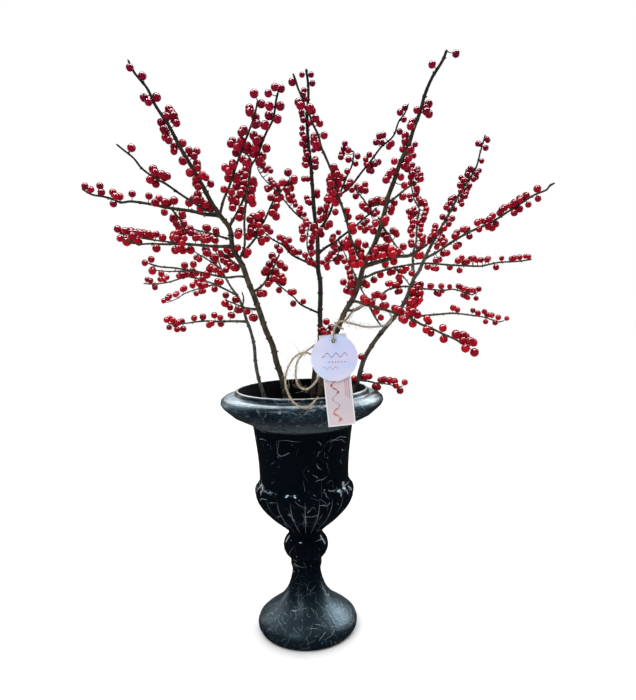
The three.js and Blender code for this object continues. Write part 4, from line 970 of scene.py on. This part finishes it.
branch_middle = {
  "foot": [3, 16],
  "stem": {
    "thick": [3.6, 1.7],
    "route": [
      [14, 306, 22], [16, 326, 30], [20, 351, 44], [24, 371, 54], [25, 386, 60], [25, 406, 66],
      [26, 426, 72], [26, 446, 77], [24, 458, 80], [24, 476, 85], [24, 496, 90], [23, 511, 94],
      [21, 526, 98], [20, 546, 104], [19, 566, 110], [18, 586, 116], [16, 606, 122], [15, 626, 128],
      [15, 646, 134], [17, 666, 140], [17, 681, 145], [15, 698, 150],
    ],
    "fruit": [
      [21, 691, 1], [10, 691, 1], [21, 681, 1], [15, 673, 1], [15, 665, 2], [18, 651, 2], [11, 643, 3],
      [15, 633, 3], [10, 618, 3], [15, 616, 2], [8, 611, 1], [12, 602, 3], [22, 603, 1], [10, 595, 2],
      [17, 592, 3], [23, 594, 4], [17, 586, 2], [22, 583, 1], [9, 569, 1], [14, 569, 1], [24, 551, 2],
      [13, 544, 2], [16, 540, 1],
    ],
  },
  "twigs": [
    {
      "back": 60, "thick": [1.7, 1.0],
      "route": [[24, 461], [13, 467], [3, 472], [-8, 478], [-19, 490], [-31, 497], [-40, 505]],
      "fruit": [
        [-37, 503, 1], [-1, 481, 2], [-7, 484, 2], [-12, 487, 2], [-11, 496, 1], [-19, 497, 3],
        [-23, 493, 1], [-26, 494, 1],
      ],
    },
    {
      "back": 30, "thick": [1.5, 0.7],
      "route": [[25, 405], [14, 410], [1, 417], [-8, 427], [-19, 436], [-29, 445], [-34, 454]],
      "fruit": [
        [-33, 455, 2], [4, 419, 1], [-8, 418, 1], [-8, 431, 1], [-13, 433, 1], [-25, 435, 1],
        [-22, 442, 1], [-20, 450, 2], [-24, 447, 2],
      ],
    },
    {
      "back": 185, "thick": [1.5, 0.7],
      "route": [
        [22, 513], [8, 520], [-3, 529], [-14, 542], [-22, 552], [-33, 563], [-43, 575], [-47, 583],
      ],
      "fruit": [
        [-42, 589, 3], [-38, 584, 3], [-33, 580, 2], [-30, 578, 1], [-32, 566, 2], [-29, 567, 2],
        [-29, 558, 3], [-24, 560, 3], [-35, 558, 1], [-9, 547, 3], [-5, 549, 1], [-5, 543, 2],
        [-2, 538, 1], [4, 534, 1], [4, 527, 3], [8, 525, 2], [-36, 560, 1],
      ],
    },
    {
      "back": 60, "thick": [1.8, 1.0],
      "route": [
        [23, 504], [30, 512], [37, 522], [42, 533], [46, 543], [57, 552], [66, 559], [80, 576],
        [92, 590], [104, 605], [119, 618], [126, 635], [133, 644], [138, 656],
      ],
      "fruit": [
        [137, 651, 1], [130, 644, 1], [129, 639, 1], [127, 623, 1], [104, 619, 2], [98, 611, 1],
        [109, 611, 3], [85, 591, 1], [90, 587, 3], [94, 593, 1], [99, 586, 2], [86, 583, 2],
        [92, 577, 1], [52, 547, 2], [45, 543, 3], [38, 546, 2], [41, 529, 2], [35, 534, 2],
        [29, 530, 2], [33, 525, 3], [31, 519, 2], [38, 512, 2], [44, 530, 1], [28, 508, 1],
        [29, 502, 1], [109, 609, 1], [36, 518, 1],
      ],
    },
    {
      "back": 110, "thick": [1.6, 1.0],
      "route": [[51, 547], [56, 558], [61, 570], [68, 584], [70, 594], [71, 600]],
      "fruit": [
        [64, 602, 1], [60, 610, 1], [58, 604, 1], [56, 596, 2], [64, 591, 1], [74, 595, 1],
        [70, 588, 1], [61, 562, 3], [60, 571, 3], [66, 559, 1], [54, 553, 1],
      ],
    },
    {
      "back": 160, "thick": [2.0, 1.3],
      "route": [
        [25, 478], [34, 486], [45, 492], [54, 499], [64, 506], [72, 512], [80, 519], [88, 525],
        [98, 533],
      ],
      "fruit": [
        [96, 527, 2], [45, 494, 2], [50, 504, 1], [66, 510, 1], [77, 521, 2], [82, 519, 2],
        [79, 510, 2], [86, 507, 3], [98, 517, 3], [92, 529, 1],
      ],
    },
    {
      "back": 170, "thick": [1.2, 0.7],
      "route": [[50, 495], [52, 488], [50, 480], [46, 473], [38, 468], [32, 465]],
      "fruit": [
        [32, 466, 2], [35, 462, 1], [37, 466, 2], [38, 471, 2], [44, 471, 3], [52, 473, 2],
        [50, 478, 3], [40, 480, 2], [47, 484, 2], [43, 484, 3], [48, 490, 2], [56, 488, 4],
      ],
    },
    {
      "back": 35, "thick": [1.4, 0.7],
      "route": [[24, 462], [18, 470], [13, 480], [11, 491], [12, 503], [14, 513]],
      "fruit": [
        [11, 517, 2], [6, 510, 3], [12, 511, 2], [18, 511, 2], [20, 502, 3], [17, 497, 3], [8, 498, 2],
        [5, 495, 1], [16, 488, 2], [12, 479, 2], [17, 482, 2], [14, 473, 3], [18, 469, 2],
      ],
    },
    {
      "back": 35, "thick": [1.3, 0.8],
      "route": [[25, 376], [30, 382], [36, 389]],
      "fruit": [[36, 390, 1], [28, 383, 2], [32, 386, 2], [33, 381, 1]],
    },
  ],
}
branch_right = {
  "foot": [8, -17],
  "stem": {
    "thick": [3.3, 1.4],
    "route": [
      [15, 210, -38], [18, 249, -47], [23, 306, -60], [25, 326, -65], [32, 351, -72], [40, 371, -78],
      [47, 386, -82], [56, 406, -86], [68, 426, -89], [76, 447, -92], [81, 464, -94], [93, 486, -96],
      [101, 506, -98], [107, 526, -99], [112, 546, -101], [120, 566, -102], [127, 586, -103],
      [138, 608, -104], [144, 626, -104], [152, 646, -105], [158, 666, -106], [167, 686, -107],
      [180, 706, -108], [185, 718, -108],
    ],
    "fruit": [
      [196, 713, 1], [167, 701, 1], [160, 651, 3], [163, 643, 1], [148, 648, 1], [140, 632, 2],
      [137, 626, 1], [143, 628, 1], [140, 618, 1], [134, 611, 1], [131, 602, 1], [139, 602, 1],
      [142, 597, 1], [138, 591, 1], [131, 588, 3], [120, 588, 1], [133, 582, 2], [138, 581, 2],
      [121, 575, 1], [112, 570, 3], [128, 569, 1], [132, 559, 1], [117, 529, 2], [107, 517, 2],
      [111, 511, 1], [93, 505, 1], [103, 511, 1],
    ],
  },
  "twigs": [
    {
      "back": -155, "thick": [1.5, 1.0],
      "route": [
        [79, 461], [71, 482], [64, 500], [62, 511], [57, 529], [51, 547], [47, 558], [45, 572],
        [41, 583], [36, 595], [31, 607], [28, 620], [22, 633], [18, 644], [13, 652], [10, 664],
        [5, 675], [2, 685], [-1, 693],
      ],
      "fruit": [
        [-1, 683, 1], [9, 658, 2], [5, 654, 1], [19, 650, 2], [25, 640, 1], [30, 634, 1], [35, 620, 1],
        [22, 614, 2], [28, 608, 2], [42, 567, 3], [52, 564, 2], [50, 574, 3], [46, 582, 1],
        [44, 552, 3], [43, 547, 2], [50, 543, 2], [60, 530, 1], [63, 525, 2], [65, 511, 1],
        [69, 508, 2], [64, 492, 3], [72, 488, 2], [83, 488, 1], [66, 477, 3], [76, 477, 2],
        [66, 468, 3], [70, 465, 2], [78, 469, 1], [77, 469, 1],
      ],
    },
    {
      "back": -30, "thick": [1.5, 0.7],
      "route": [[109, 536], [100, 537], [92, 535], [86, 537], [81, 544], [76, 550], [72, 555]],
      "fruit": [
        [73, 557, 1], [78, 562, 1], [84, 561, 1], [79, 556, 2], [84, 554, 1], [74, 549, 1],
        [84, 537, 2], [86, 531, 2], [92, 540, 3], [98, 542, 3], [104, 539, 3], [70, 555, 1],
      ],
    },
    {
      "back": 20, "thick": [1.4, 0.7],
      "route": [[74, 442], [70, 450], [66, 459], [62, 467], [58, 476], [55, 484]],
      "fruit": [[57, 469, 1], [60, 461, 1], [64, 455, 1], [64, 448, 2], [70, 449, 1]],
    },
    {
      "back": -35, "thick": [1.5, 0.7],
      "route": [[111, 537], [121, 545], [130, 552], [139, 558], [147, 562], [155, 566]],
      "fruit": [[154, 566, 1], [145, 562, 3], [141, 571, 2], [119, 539, 1], [129, 547, 1]],
    },
    {
      "back": -60, "thick": [1.4, 0.8],
      "route": [[103, 512], [113, 498], [121, 486], [131, 476]],
      "fruit": [[130, 485, 1], [107, 502, 1], [110, 496, 3], [119, 504, 2], [122, 500, 1]],
    },
    {
      "back": -140, "thick": [2.6, 1.3],
      "route": [
        [80, 462], [95, 466], [104, 468], [122, 473], [138, 474], [146, 479], [155, 484], [161, 488],
      ],
      "fruit": [
        [149, 474, 2], [121, 476, 3], [118, 467, 1], [113, 482, 2], [109, 476, 3], [100, 483, 4],
        [92, 473, 4], [98, 474, 2], [99, 490, 3], [106, 489, 2],
      ],
    },
    {
      "back": 95, "thick": [1.4, 1.1],
      "route": [
        [77, 448], [84, 449], [93, 453], [104, 456], [115, 459], [135, 462], [151, 464], [170, 463],
        [190, 461], [205, 460], [228, 459], [238, 461], [250, 463], [276, 464], [291, 466],
      ],
      "fruit": [
        [285, 470, 2], [276, 466, 1], [267, 468, 2], [253, 468, 1], [246, 457, 1], [236, 468, 1],
        [231, 466, 3], [218, 467, 3], [203, 470, 1], [208, 463, 2], [196, 461, 3], [169, 459, 2],
        [162, 460, 2], [140, 452, 1], [130, 459, 3], [125, 449, 1], [115, 453, 2], [108, 457, 3],
        [93, 445, 1], [112, 459, 1],
      ],
    },
    {
      "back": 60, "thick": [1.2, 0.7],
      "route": [[118, 460], [126, 452], [133, 444], [138, 437]],
      "fruit": [[137, 439, 1], [124, 447, 1]],
    },
    {
      "back": -175, "thick": [1.6, 1.0],
      "route": [
        [62, 415], [68, 419], [76, 417], [84, 414], [101, 409], [111, 406], [121, 402], [142, 394],
        [152, 388], [162, 384], [180, 375], [189, 371], [197, 367], [204, 362], [212, 358],
      ],
      "fruit": [
        [212, 358, 3], [216, 364, 2], [208, 366, 3], [207, 373, 2], [200, 372, 4], [180, 369, 1],
        [179, 383, 1], [162, 381, 3], [160, 393, 2], [144, 403, 3], [140, 395, 1], [129, 396, 2],
        [123, 404, 3], [117, 411, 2], [106, 413, 2], [104, 424, 1], [95, 426, 2], [90, 415, 1],
        [85, 420, 4], [136, 399, 1],
      ],
    },
    {
      "back": -100, "thick": [1.3, 0.9],
      "route": [[87, 413], [92, 402], [98, 392], [101, 388]],
      "fruit": [[101, 398, 1], [93, 405, 1]],
    },
    {
      "back": 150, "thick": [1.5, 1.0],
      "route": [
        [58, 408], [69, 408], [78, 413], [91, 422], [101, 426], [112, 433], [132, 436], [144, 434],
        [160, 432], [179, 430], [192, 431], [206, 427], [215, 424], [222, 426],
      ],
      "fruit": [
        [221, 419, 1], [224, 430, 1], [220, 429, 4], [215, 429, 3], [208, 424, 3], [209, 431, 2],
        [202, 433, 3], [184, 431, 2], [177, 434, 1], [173, 429, 2], [165, 435, 1], [157, 431, 2],
        [147, 438, 4], [123, 431, 2], [125, 442, 1], [120, 438, 2], [112, 439, 2],
      ],
    },
    {
      "back": -65, "thick": [1.2, 0.8],
      "route": [[75, 443], [77, 434], [82, 425]],
      "fruit": [[78, 441, 1], [84, 439, 1]],
    },
    {
      "back": -75, "thick": [1.2, 0.8],
      "route": [[72, 437], [64, 436], [57, 439]],
      "fruit": [[56, 441, 1], [66, 438, 2], [60, 433, 2], [66, 430, 2]],
    },
  ],
}
branch_right_back = {
  "foot": [17, 4],
  "stem": {
    "thick": [3.2, 1.1],
    "route": [
      [33, 186, 4], [43, 226, 3], [50, 261, 0], [58, 291, -2], [66, 309, -4], [72, 324, -6],
      [79, 346, -8], [91, 366, -10], [107, 386, -12], [116, 396, -10], [125, 407, -6], [134, 423, 4],
      [139, 436, 14], [143, 446, 24], [149, 454, 34], [156, 469, 50], [167, 490, 74], [173, 500, 86],
      [182, 515, 100], [191, 531, 116], [202, 551, 134], [214, 568, 150], [221, 580, 160],
      [226, 598, 174], [232, 618, 190],
    ],
    "fruit": [
      [232, 612, 1], [229, 606, 4], [226, 587, 1], [220, 577, 2], [212, 574, 3], [220, 570, 2],
      [213, 568, 3], [202, 567, 1], [206, 563, 3], [204, 558, 2], [211, 556, 4], [200, 547, 3],
      [206, 543, 4], [203, 535, 1], [191, 538, 2], [185, 533, 2], [192, 533, 2], [181, 519, 1],
      [187, 516, 3], [189, 510, 1], [170, 509, 1], [175, 506, 2], [171, 502, 1], [166, 495, 4],
      [177, 493, 3], [181, 489, 2], [173, 487, 3], [139, 431, 3], [145, 429, 4], [149, 424, 3],
      [143, 421, 2], [153, 421, 2], [133, 423, 1], [150, 415, 3], [144, 412, 3], [137, 414, 2],
      [136, 408, 1], [78, 348, 1], [201, 546, 1],
    ],
  },
  "twigs": [
    {
      "back": -15, "thick": [1.8, 1.2],
      "route": [
        [156, 470], [171, 477], [190, 489], [210, 500], [232, 509], [241, 513], [259, 524], [277, 535],
        [294, 545], [309, 551], [312, 555], [319, 559],
      ],
      "fruit": [
        [297, 552, 1], [298, 540, 1], [286, 533, 1], [285, 542, 1], [279, 542, 3], [274, 537, 2],
        [269, 535, 1], [270, 525, 2], [275, 528, 1], [265, 530, 1], [253, 527, 3], [245, 511, 1],
        [240, 512, 3], [238, 507, 2], [236, 518, 1], [230, 514, 2], [224, 514, 2], [226, 508, 2],
        [212, 497, 1], [208, 503, 2], [203, 500, 1], [197, 496, 2], [197, 486, 2], [182, 476, 2],
        [173, 467, 2],
      ],
    },
    {
      "back": 260, "thick": [1.8, 0.7],
      "route": [
        [143, 447], [142, 461], [142, 476], [146, 491], [147, 506], [148, 518], [150, 531], [144, 542],
        [141, 556], [139, 568], [137, 581], [138, 594], [141, 606],
      ],
      "fruit": [
        [141, 606, 1], [140, 597, 2], [138, 584, 2], [148, 577, 2], [141, 573, 3], [147, 569, 2],
        [143, 562, 2], [144, 550, 3], [142, 542, 1], [150, 539, 3], [156, 537, 2], [147, 533, 2],
        [137, 529, 2], [159, 530, 3], [156, 523, 2], [155, 518, 2], [145, 525, 2], [139, 524, 3],
        [145, 516, 2], [140, 507, 3], [146, 509, 2], [151, 507, 2], [141, 499, 1], [150, 500, 2],
        [154, 492, 4], [142, 488, 2], [146, 484, 1], [143, 546, 1],
      ],
    },
    {
      "back": 205, "thick": [1.7, 1.0],
      "route": [
        [125, 406], [135, 402], [149, 399], [170, 400], [193, 401], [215, 398], [232, 395], [249, 389],
        [256, 390],
      ],
      "fruit": [
        [260, 393, 1], [249, 394, 1], [241, 391, 1], [234, 392, 1], [236, 397, 2], [233, 401, 2],
        [218, 397, 1], [217, 404, 1], [197, 403, 1], [192, 408, 1], [241, 391, 1],
      ],
    },
    {
      "back": 10, "thick": [1.3, 0.7],
      "route": [[71, 320], [84, 318], [92, 316], [101, 315], [111, 313], [121, 310], [128, 311]],
      "fruit": [
        [129, 313, 1], [124, 306, 1], [115, 312, 1], [111, 317, 1], [104, 319, 3], [96, 312, 1],
        [91, 316, 1], [81, 324, 3], [68, 321, 1], [116, 311, 1],
      ],
    },
  ],
}

# Wood: every stem and twig is a round, tapering strand that follows a curve, as wood grows. It is
# swollen at its nodes and where it forks, with a pointed bud at each node, on alternate sides.
wood_step = 0.002
node_spacing = 0.019
node_swelling = 1.22
collar_swelling = 0.5
collar_length = 0.003
tip_share = 0.4
bud_size = 0.001
bud_width = 0.8
bud_taper = 0.45
bud_lift = 0.8
bud_lean = 0.9
budding_wood = 0.002
bark_chance = random.Random(5)
all_ways = {
    "branch_left": grow(branch_left),
    "branch_left_back": grow(branch_left_back),
    "branch_middle": grow(branch_middle),
    "branch_right": grow(branch_right),
    "branch_right_back": grow(branch_right_back),
}
bpy.ops.object.select_all(action="DESELECT")
bpy.ops.mesh.primitive_uv_sphere_add(segments=6, ring_count=5, radius=bud_size)
bud_model = bpy.context.object
for vertex in bud_model.data.vertices:
    rise = vertex.co.z / bud_size
    vertex.co.xy *= bud_width * (1 - bud_taper * max(rise, 0))
    vertex.co.z += bud_lift * bud_size
bpy.ops.object.shade_smooth()


def knobbly(way, is_twig):
    """A way's strand in metres, and its nodes: each one's point, direction and radius."""
    line, places = smooth_line([point / 1000 for point in way["points"]], wood_step)
    run = 0
    next_node = node_spacing * bark_chance.uniform(0.4, 1)
    radii = []
    nodes = []
    for i, (point, place) in enumerate(zip(line, places)):
        first = min(int(place), len(way["radii"]) - 2)
        radius = way["radii"][first]
        radius += (way["radii"][first + 1] - radius) * (place - first)
        run += (point - line[i - 1]).length if i else 0
        collar = 1 + collar_swelling * math.exp(-run / collar_length) if is_twig else 1
        radii.append(radius / 1000 * collar * bark_chance.uniform(0.95, 1.05))
        if run > next_node and i < len(line) - 2:
            next_node = run + node_spacing * bark_chance.uniform(0.7, 1.3)
            radii[-1] *= node_swelling
            nodes.append((point, (line[i + 1] - line[i - 1]).normalized(), radii[-1]))
    radii[-1] *= tip_share
    return (line, radii), nodes


def copied(model, place, direction, size, tilt=0):
    """A copy of a model with its own mesh, put at a place with its top towards a direction."""
    copy = model.copy()
    copy.data = model.data.copy()
    turned = direction.to_track_quat("Z", "Y").to_matrix().to_4x4() @ Matrix.Rotation(tilt, 4, "X")
    copy.matrix_world = Matrix.Translation(place) @ turned @ Matrix.Scale(size, 4)
    bpy.context.collection.objects.link(copy)
    return copy


def joined(pieces, name):
    bpy.ops.object.select_all(action="DESELECT")
    for piece in pieces:
        piece.select_set(True)
    bpy.context.view_layer.objects.active = pieces[0]
    bpy.ops.object.join()
    bpy.ops.object.transform_apply(location=True, rotation=True, scale=True)
    pieces[0].name = name
    return pieces[0]


wood = {}
for name, ways in all_ways.items():
    lines = []
    buds = []
    for number, way in enumerate(ways):
        strand, nodes = knobbly(way, number > 0)
        lines.append(strand)
        for turn, (point, along, radius) in enumerate(nodes):
            side = along.cross(Vector((0, 1, 0))).normalized()
            side = Matrix.Rotation(turn * math.pi + bark_chance.uniform(-0.9, 0.9), 3, along) @ side
            lean = (side + along * bud_lean).normalized()
            size = 0.75 + 0.25 * radius / budding_wood
            buds.append(copied(bud_model, point + side * radius * 0.8, lean, size))
    wood[name] = (lines, buds)
bpy.data.objects.remove(bud_model)

# Berries: glossy red fruit, 8 to 9 mm across, in clusters, each on its own short stalk. A cluster
# hangs beside the wood where it is seen, or sits round the wood where it is seen on it.
golden_angle = 2.39996
cluster_pitch = 4.5
cluster_depth = 7
cluster_jog = 1.6
lone_depth = 3
beside_wood = 1.5
longest_stalk = 11
shortest_stalk = 0.5
wood_clearance = 0.2
sitting_spread = 1.6
usual_berry = 4.5
small_berries = {"branch_right": 4.1}
berry_spread = 0.45
crowding = 0.72  # how near two berries of a branch may lie, as a share of both radii
neighbour_gap = 0.6
twine_radius = 1.1
attempts = 9
attempt_turn = 1.3
draws = 0


def draw():
    """A number from 0 to 1, the same ones in the same order each time."""
    global draws
    draws += 1
    return math.sin(draws * 12.9898) * 43758.5453 % 1


def laid_out(ways):
    """The straight pieces of wood as arrays: starts, ends and radii."""
    starts = np.array([p for way in ways for p in way["points"][:-1]])
    ends = np.array([p for way in ways for p in way["points"][1:]])
    radii = np.array([max(pair) for way in ways for pair in zip(way["radii"], way["radii"][1:])])
    return starts, ends, radii


def wood_nearest(point, laid):
    """The nearest place on the middle of the wood, the radius there and how far off its skin is."""
    starts, ends, radii = laid
    point = np.array(point)
    spans = ends - starts
    share = np.einsum("ij,ij->i", point - starts, spans) / np.einsum("ij,ij->i", spans, spans)
    roots = starts + spans * np.clip(share, 0, 1)[:, None]
    distances = np.linalg.norm(roots - point, axis=1) - radii
    i = int(distances.argmin())
    return Vector(roots[i]), float(radii[i]), float(distances[i])


def is_clear(centre, radius, owner):
    for name, laid in wood_laid.items():
        if name != owner and wood_nearest(centre, laid)[2] <= radius + neighbour_gap:
            return False
    if wood_nearest(centre, twine_laid)[2] < radius + neighbour_gap:
        return False
    for other_owner, other_radius, other_centre in berries:
        apart = (centre - other_centre).length
        both = radius + other_radius
        if apart <= (crowding * both if other_owner == owner else both + neighbour_gap):
            return False
    return True


def berry_spot(way, cluster, k, turn, radius):
    """Where the k-th berry of a cluster lies, in millimetres."""
    across, up, count = cluster
    point, distance, along, wood_radius = nearest_on(way, across, up)
    step = (k - (count - 1) / 2) * cluster_pitch
    if distance > beside_wood:
        reach = min(max(distance, radius + shortest_stalk), longest_stalk + radius) / distance
        jog = 0 if count == 1 else cluster_jog * math.cos(turn)
        across = point[0] + (across - point[0]) * reach + along.x * step - along.z * jog
        up = point[1] + (up - point[1]) * reach + along.z * step + along.x * jog
        depth = lone_depth if count == 1 else cluster_depth
        return placed(across, up, point[2] + depth * math.sin(turn))
    root = placed(*point) + along * step
    aside = Vector((0, 0, 1)).cross(along)
    if aside.length < 0.1:
        aside = Vector((1, 0, 0))
    aside.normalize()
    other = along.cross(aside)
    reach = radius + wood_radius + wood_clearance + sitting_spread * abs(math.sin(turn * 3))
    return root + aside * reach * math.cos(turn) + other * reach * math.sin(turn)


def settled(name, way, cluster, k, start, radius):
    """The first spot tried where a berry meets nothing else, or None."""
    for attempt in range(attempts):
        turn = start + golden_angle * (k + attempt * attempt_turn)
        centre = berry_spot(way, cluster, k, turn, radius)
        if is_clear(centre, radius, name):
            return centre
    return None


wood_laid = {name: laid_out(ways) for name, ways in all_ways.items()}
twine_way = {"points": [Vector(knot) for knot in twine_knots], "radii": [twine_radius] * len(twine_knots)}
twine_laid = laid_out([twine_way])
berries = []
for name, ways in all_ways.items():
    for way in ways:
        for cluster in way["fruit"]:
            start = draw() * 2 * math.pi
            for k in range(cluster[2]):
                radius = small_berries.get(name, usual_berry) + berry_spread * (2 * draw() - 1)
                centre = settled(name, way, cluster, k, start, radius)
                if centre:
                    berries.append((name, radius, centre))

berry_height = 0.96
dimple = 0.08
stalk_radii = [0.0008, 0.00045, 0.0005]
stalk_sag = Vector((0, 0, -0.12))
stalk_end = 0.85
berry_tilt = 0.5
berry_chance = random.Random(3)
bpy.ops.object.select_all(action="DESELECT")
bpy.ops.mesh.primitive_uv_sphere_add(segments=10, ring_count=7, radius=1)
berry_model = bpy.context.object
for vertex in berry_model.data.vertices:
    is_top = vertex.co.z > 0.99
    vertex.co.z = vertex.co.z * berry_height - (dimple if is_top else 0)
bpy.ops.object.shade_smooth()
rises = [vertex.co.z for vertex in berry_model.data.vertices]
berry_model.data.attributes.new("from_stalk", "FLOAT", "POINT").data.foreach_set("value", rises)
berry_model.data.attributes.new("ripeness", "FLOAT", "POINT")
for name, (lines, buds) in wood.items():
    copies = []
    for owner, radius, centre in berries:
        if owner != name:
            continue
        root = wood_nearest(centre, wood_laid[name])[0]
        outward = (centre - root).normalized()
        tilt = berry_chance.uniform(-berry_tilt, berry_tilt)
        berry = copied(berry_model, centre / 1000, outward, radius / 1000, tilt)
        ripeness = [berry_chance.random()] * len(rises)
        berry.data.attributes["ripeness"].data.foreach_set("value", ripeness)
        copies.append(berry)
        end = centre - outward * radius * stalk_end
        bend = root.lerp(end, 0.55) + stalk_sag * (end - root).length
        lines.append(([root / 1000, bend / 1000, end / 1000], stalk_radii))
    wood[name] = (lines, buds, joined(copies, name + ".berries"))
bpy.data.objects.remove(berry_model)

skin, tree, shader, place = finish("berry_skin", 0.1, Specular_IOR_Level=0.6)
ripe = node(tree, "ShaderNodeAttribute", attribute_name="ripeness").outputs["Fac"]
rise = node(tree, "ShaderNodeAttribute", attribute_name="from_stalk").outputs["Fac"]
blotches = noise(tree, place, 260.0)
# The berries are painted a darker red with height, from 466 to 666 mm: painted shade, as the upper
# berries are backlit. Their ripeness varies at random from berry to berry.
fresh = mix_colors(tree, ripe, (0.23, 0.004, 0.014), (0.50, 0.009, 0.020))
shaded_red_above = mix_colors(tree, ripe, (0.11, 0.002, 0.018), (0.23, 0.003, 0.028))
red = mix_colors(tree, ramp(tree, axes_of(tree, place)[2], 0.466, 0.666), fresh, shaded_red_above)
red = mix_colors(tree, ramp(tree, blotches, 0.5, 0.75, 0.0, 0.2), red, (0.5, 0.006, 0.010))
red = mix_colors(tree, ramp(tree, rise, 0.86, 0.9, 0.0, 0.8), red, (0.03, 0.012, 0.01))
paint(tree, shader, red)
bump(tree, shader, blotches, 0.0001, 0.3)

# Bark: brown-grey and dull, its own tone on each branch. Higher up it is painted darker and redder:
# painted shade, as the upper wood is backlit.
# The stalks and buds are joined with the wood that they grow on.
bark_tones = {
    "branch_left": ((0.010, 0.009, 0.006), (0.072, 0.056, 0.033)),
    "branch_left_back": ((0.030, 0.030, 0.028), (0.13, 0.12, 0.105)),
    "branch_middle": ((0.007, 0.005, 0.006), (0.030, 0.020, 0.020)),
    "branch_right": ((0.013, 0.011, 0.008), (0.088, 0.068, 0.042)),
    "branch_right_back": ((0.018, 0.017, 0.016), (0.10, 0.09, 0.08)),
}
for name, (lines, buds, fruit) in wood.items():
    stems = strands(name + ".wood", lines)
    wood_piece = joined([stems, *buds], name + ".bark")
    bark, tree, shader, place = finish(name + "_bark", 0.7, Specular_IOR_Level=0.12)
    marks = use(tree, mottle, place, 160)
    tone = mix_colors(tree, marks["Patches"], *bark_tones[name])
    tone = mix_colors(tree, times(tree, marks["Grain"], 0.2), tone, (0.22, 0.18, 0.13))
    # Painted shade: from 450 to 650 mm up, the bark turns towards a near-black brown.
    painted_shade_above = ramp(tree, axes_of(tree, place)[2], 0.45, 0.65, 0.0, 0.7)
    paint(tree, shader, mix_colors(tree, painted_shade_above, tone, (0.008, 0.005, 0.006)))
    bump(tree, shader, marks["Grain"], 0.0003, 0.7)
    wood_piece.data.materials.clear()
    wood_piece.data.materials.append(bark)
    fruit.data.materials.clear()
    fruit.data.materials.append(skin)
    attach(wood_piece, "root")
    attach(fruit, "root")
    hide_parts(name)

# Studio: a plain white floor, soft light from wide panels and an even ceiling. Some panels only
# give gloss to single pieces: mirrored in the berries, the walls would whiten their edges.
bpy.ops.object.select_all(action="DESELECT")
bpy.ops.mesh.primitive_circle_add(vertices=96, radius=6, fill_type="NGON")
floor = bpy.context.object
floor.name = "floor"
floor_paint, tree, shader, place = finish("floor_paint", 0.8)
paint(tree, shader, mix_colors(tree, noise(tree, place, 2.0), (0.94, 0.94, 0.94), (0.96, 0.96, 0.96)))
floor.data.materials.append(floor_paint)
floor.visible_glossy = False


def panel(name, where, size, power, color=(1, 1, 1), mirrored_by=()):
    """A soft light panel turned to the middle of the object, or one that only some pieces mirror."""
    data = bpy.data.lights.new(name, "AREA")
    data.shape = "RECTANGLE"
    data.size, data.size_y = size
    data.energy = power
    data.color = color
    light = bpy.data.objects.new(name, data)
    light.location = where
    light.rotation_euler = (Vector((0, 0, 0.35)) - Vector(where)).to_track_quat("-Z", "Y").to_euler()
    light.visible_camera = False
    bpy.context.collection.objects.link(light)
    if mirrored_by:
        light.visible_diffuse = False
        pieces = bpy.data.collections.new(name)
        for piece in mirrored_by:
            pieces.objects.link(piece)
        light.light_linking.receiver_collection = pieces


all_fruit = [fruit for _, _, fruit in wood.values()]
panel("back_wall", (0.2, 1.4, 1.55), (3.2, 1.35), 125, (0.9, 0.97, 1), mirrored_by=[urn, water, floor])
panel("right_wall", (1.4, 0.8, 1.45), (1.2, 1.1), 40, (0.85, 0.95, 1), mirrored_by=[urn])
panel("left_wall", (-1.5, 0.6, 1.4), (0.9, 1.0), 6, (0.85, 0.95, 1), mirrored_by=[urn])
panel("strip_above", (0, -0.1, 1.9), (2.4, 0.45), 90, mirrored_by=all_fruit)
panel("lamp", (-0.75, -0.9, 1.5), (0.25, 0.25), 6)
panel("window_right", (1.7, 0.7, 0.6), (0.35, 1.4), 6)
panel("window_left", (-1.5, 1.3, 0.6), (0.25, 1.3), 4)
sky_light = bpy.data.lights.new("ceiling", "SUN")
sky_light.energy = 3.1
sky_light.angle = math.radians(100)
ceiling = bpy.data.objects.new("ceiling", sky_light)
ceiling.visible_glossy = False
bpy.context.collection.objects.link(ceiling)

# The sky is white where the camera sees it, faint as a light, and nearly dark in the gloss.
world = bpy.data.worlds.new("studio")
world.use_nodes = True
sky = world.node_tree
rays = sky.nodes.new("ShaderNodeLightPath").outputs
glow = math_node(sky, "MULTIPLY_ADD", rays["Is Diffuse Ray"], 0.15, 0.02)
glow = math_node(sky, "MAXIMUM", rays["Is Camera Ray"], glow)
sky.nodes["Background"].inputs["Color"].default_value = (1, 1, 1, 1)
sky.links.new(glow, sky.nodes["Background"].inputs["Strength"])
bpy.context.scene.world = world
bpy.context.scene.view_settings.view_transform = "Standard"
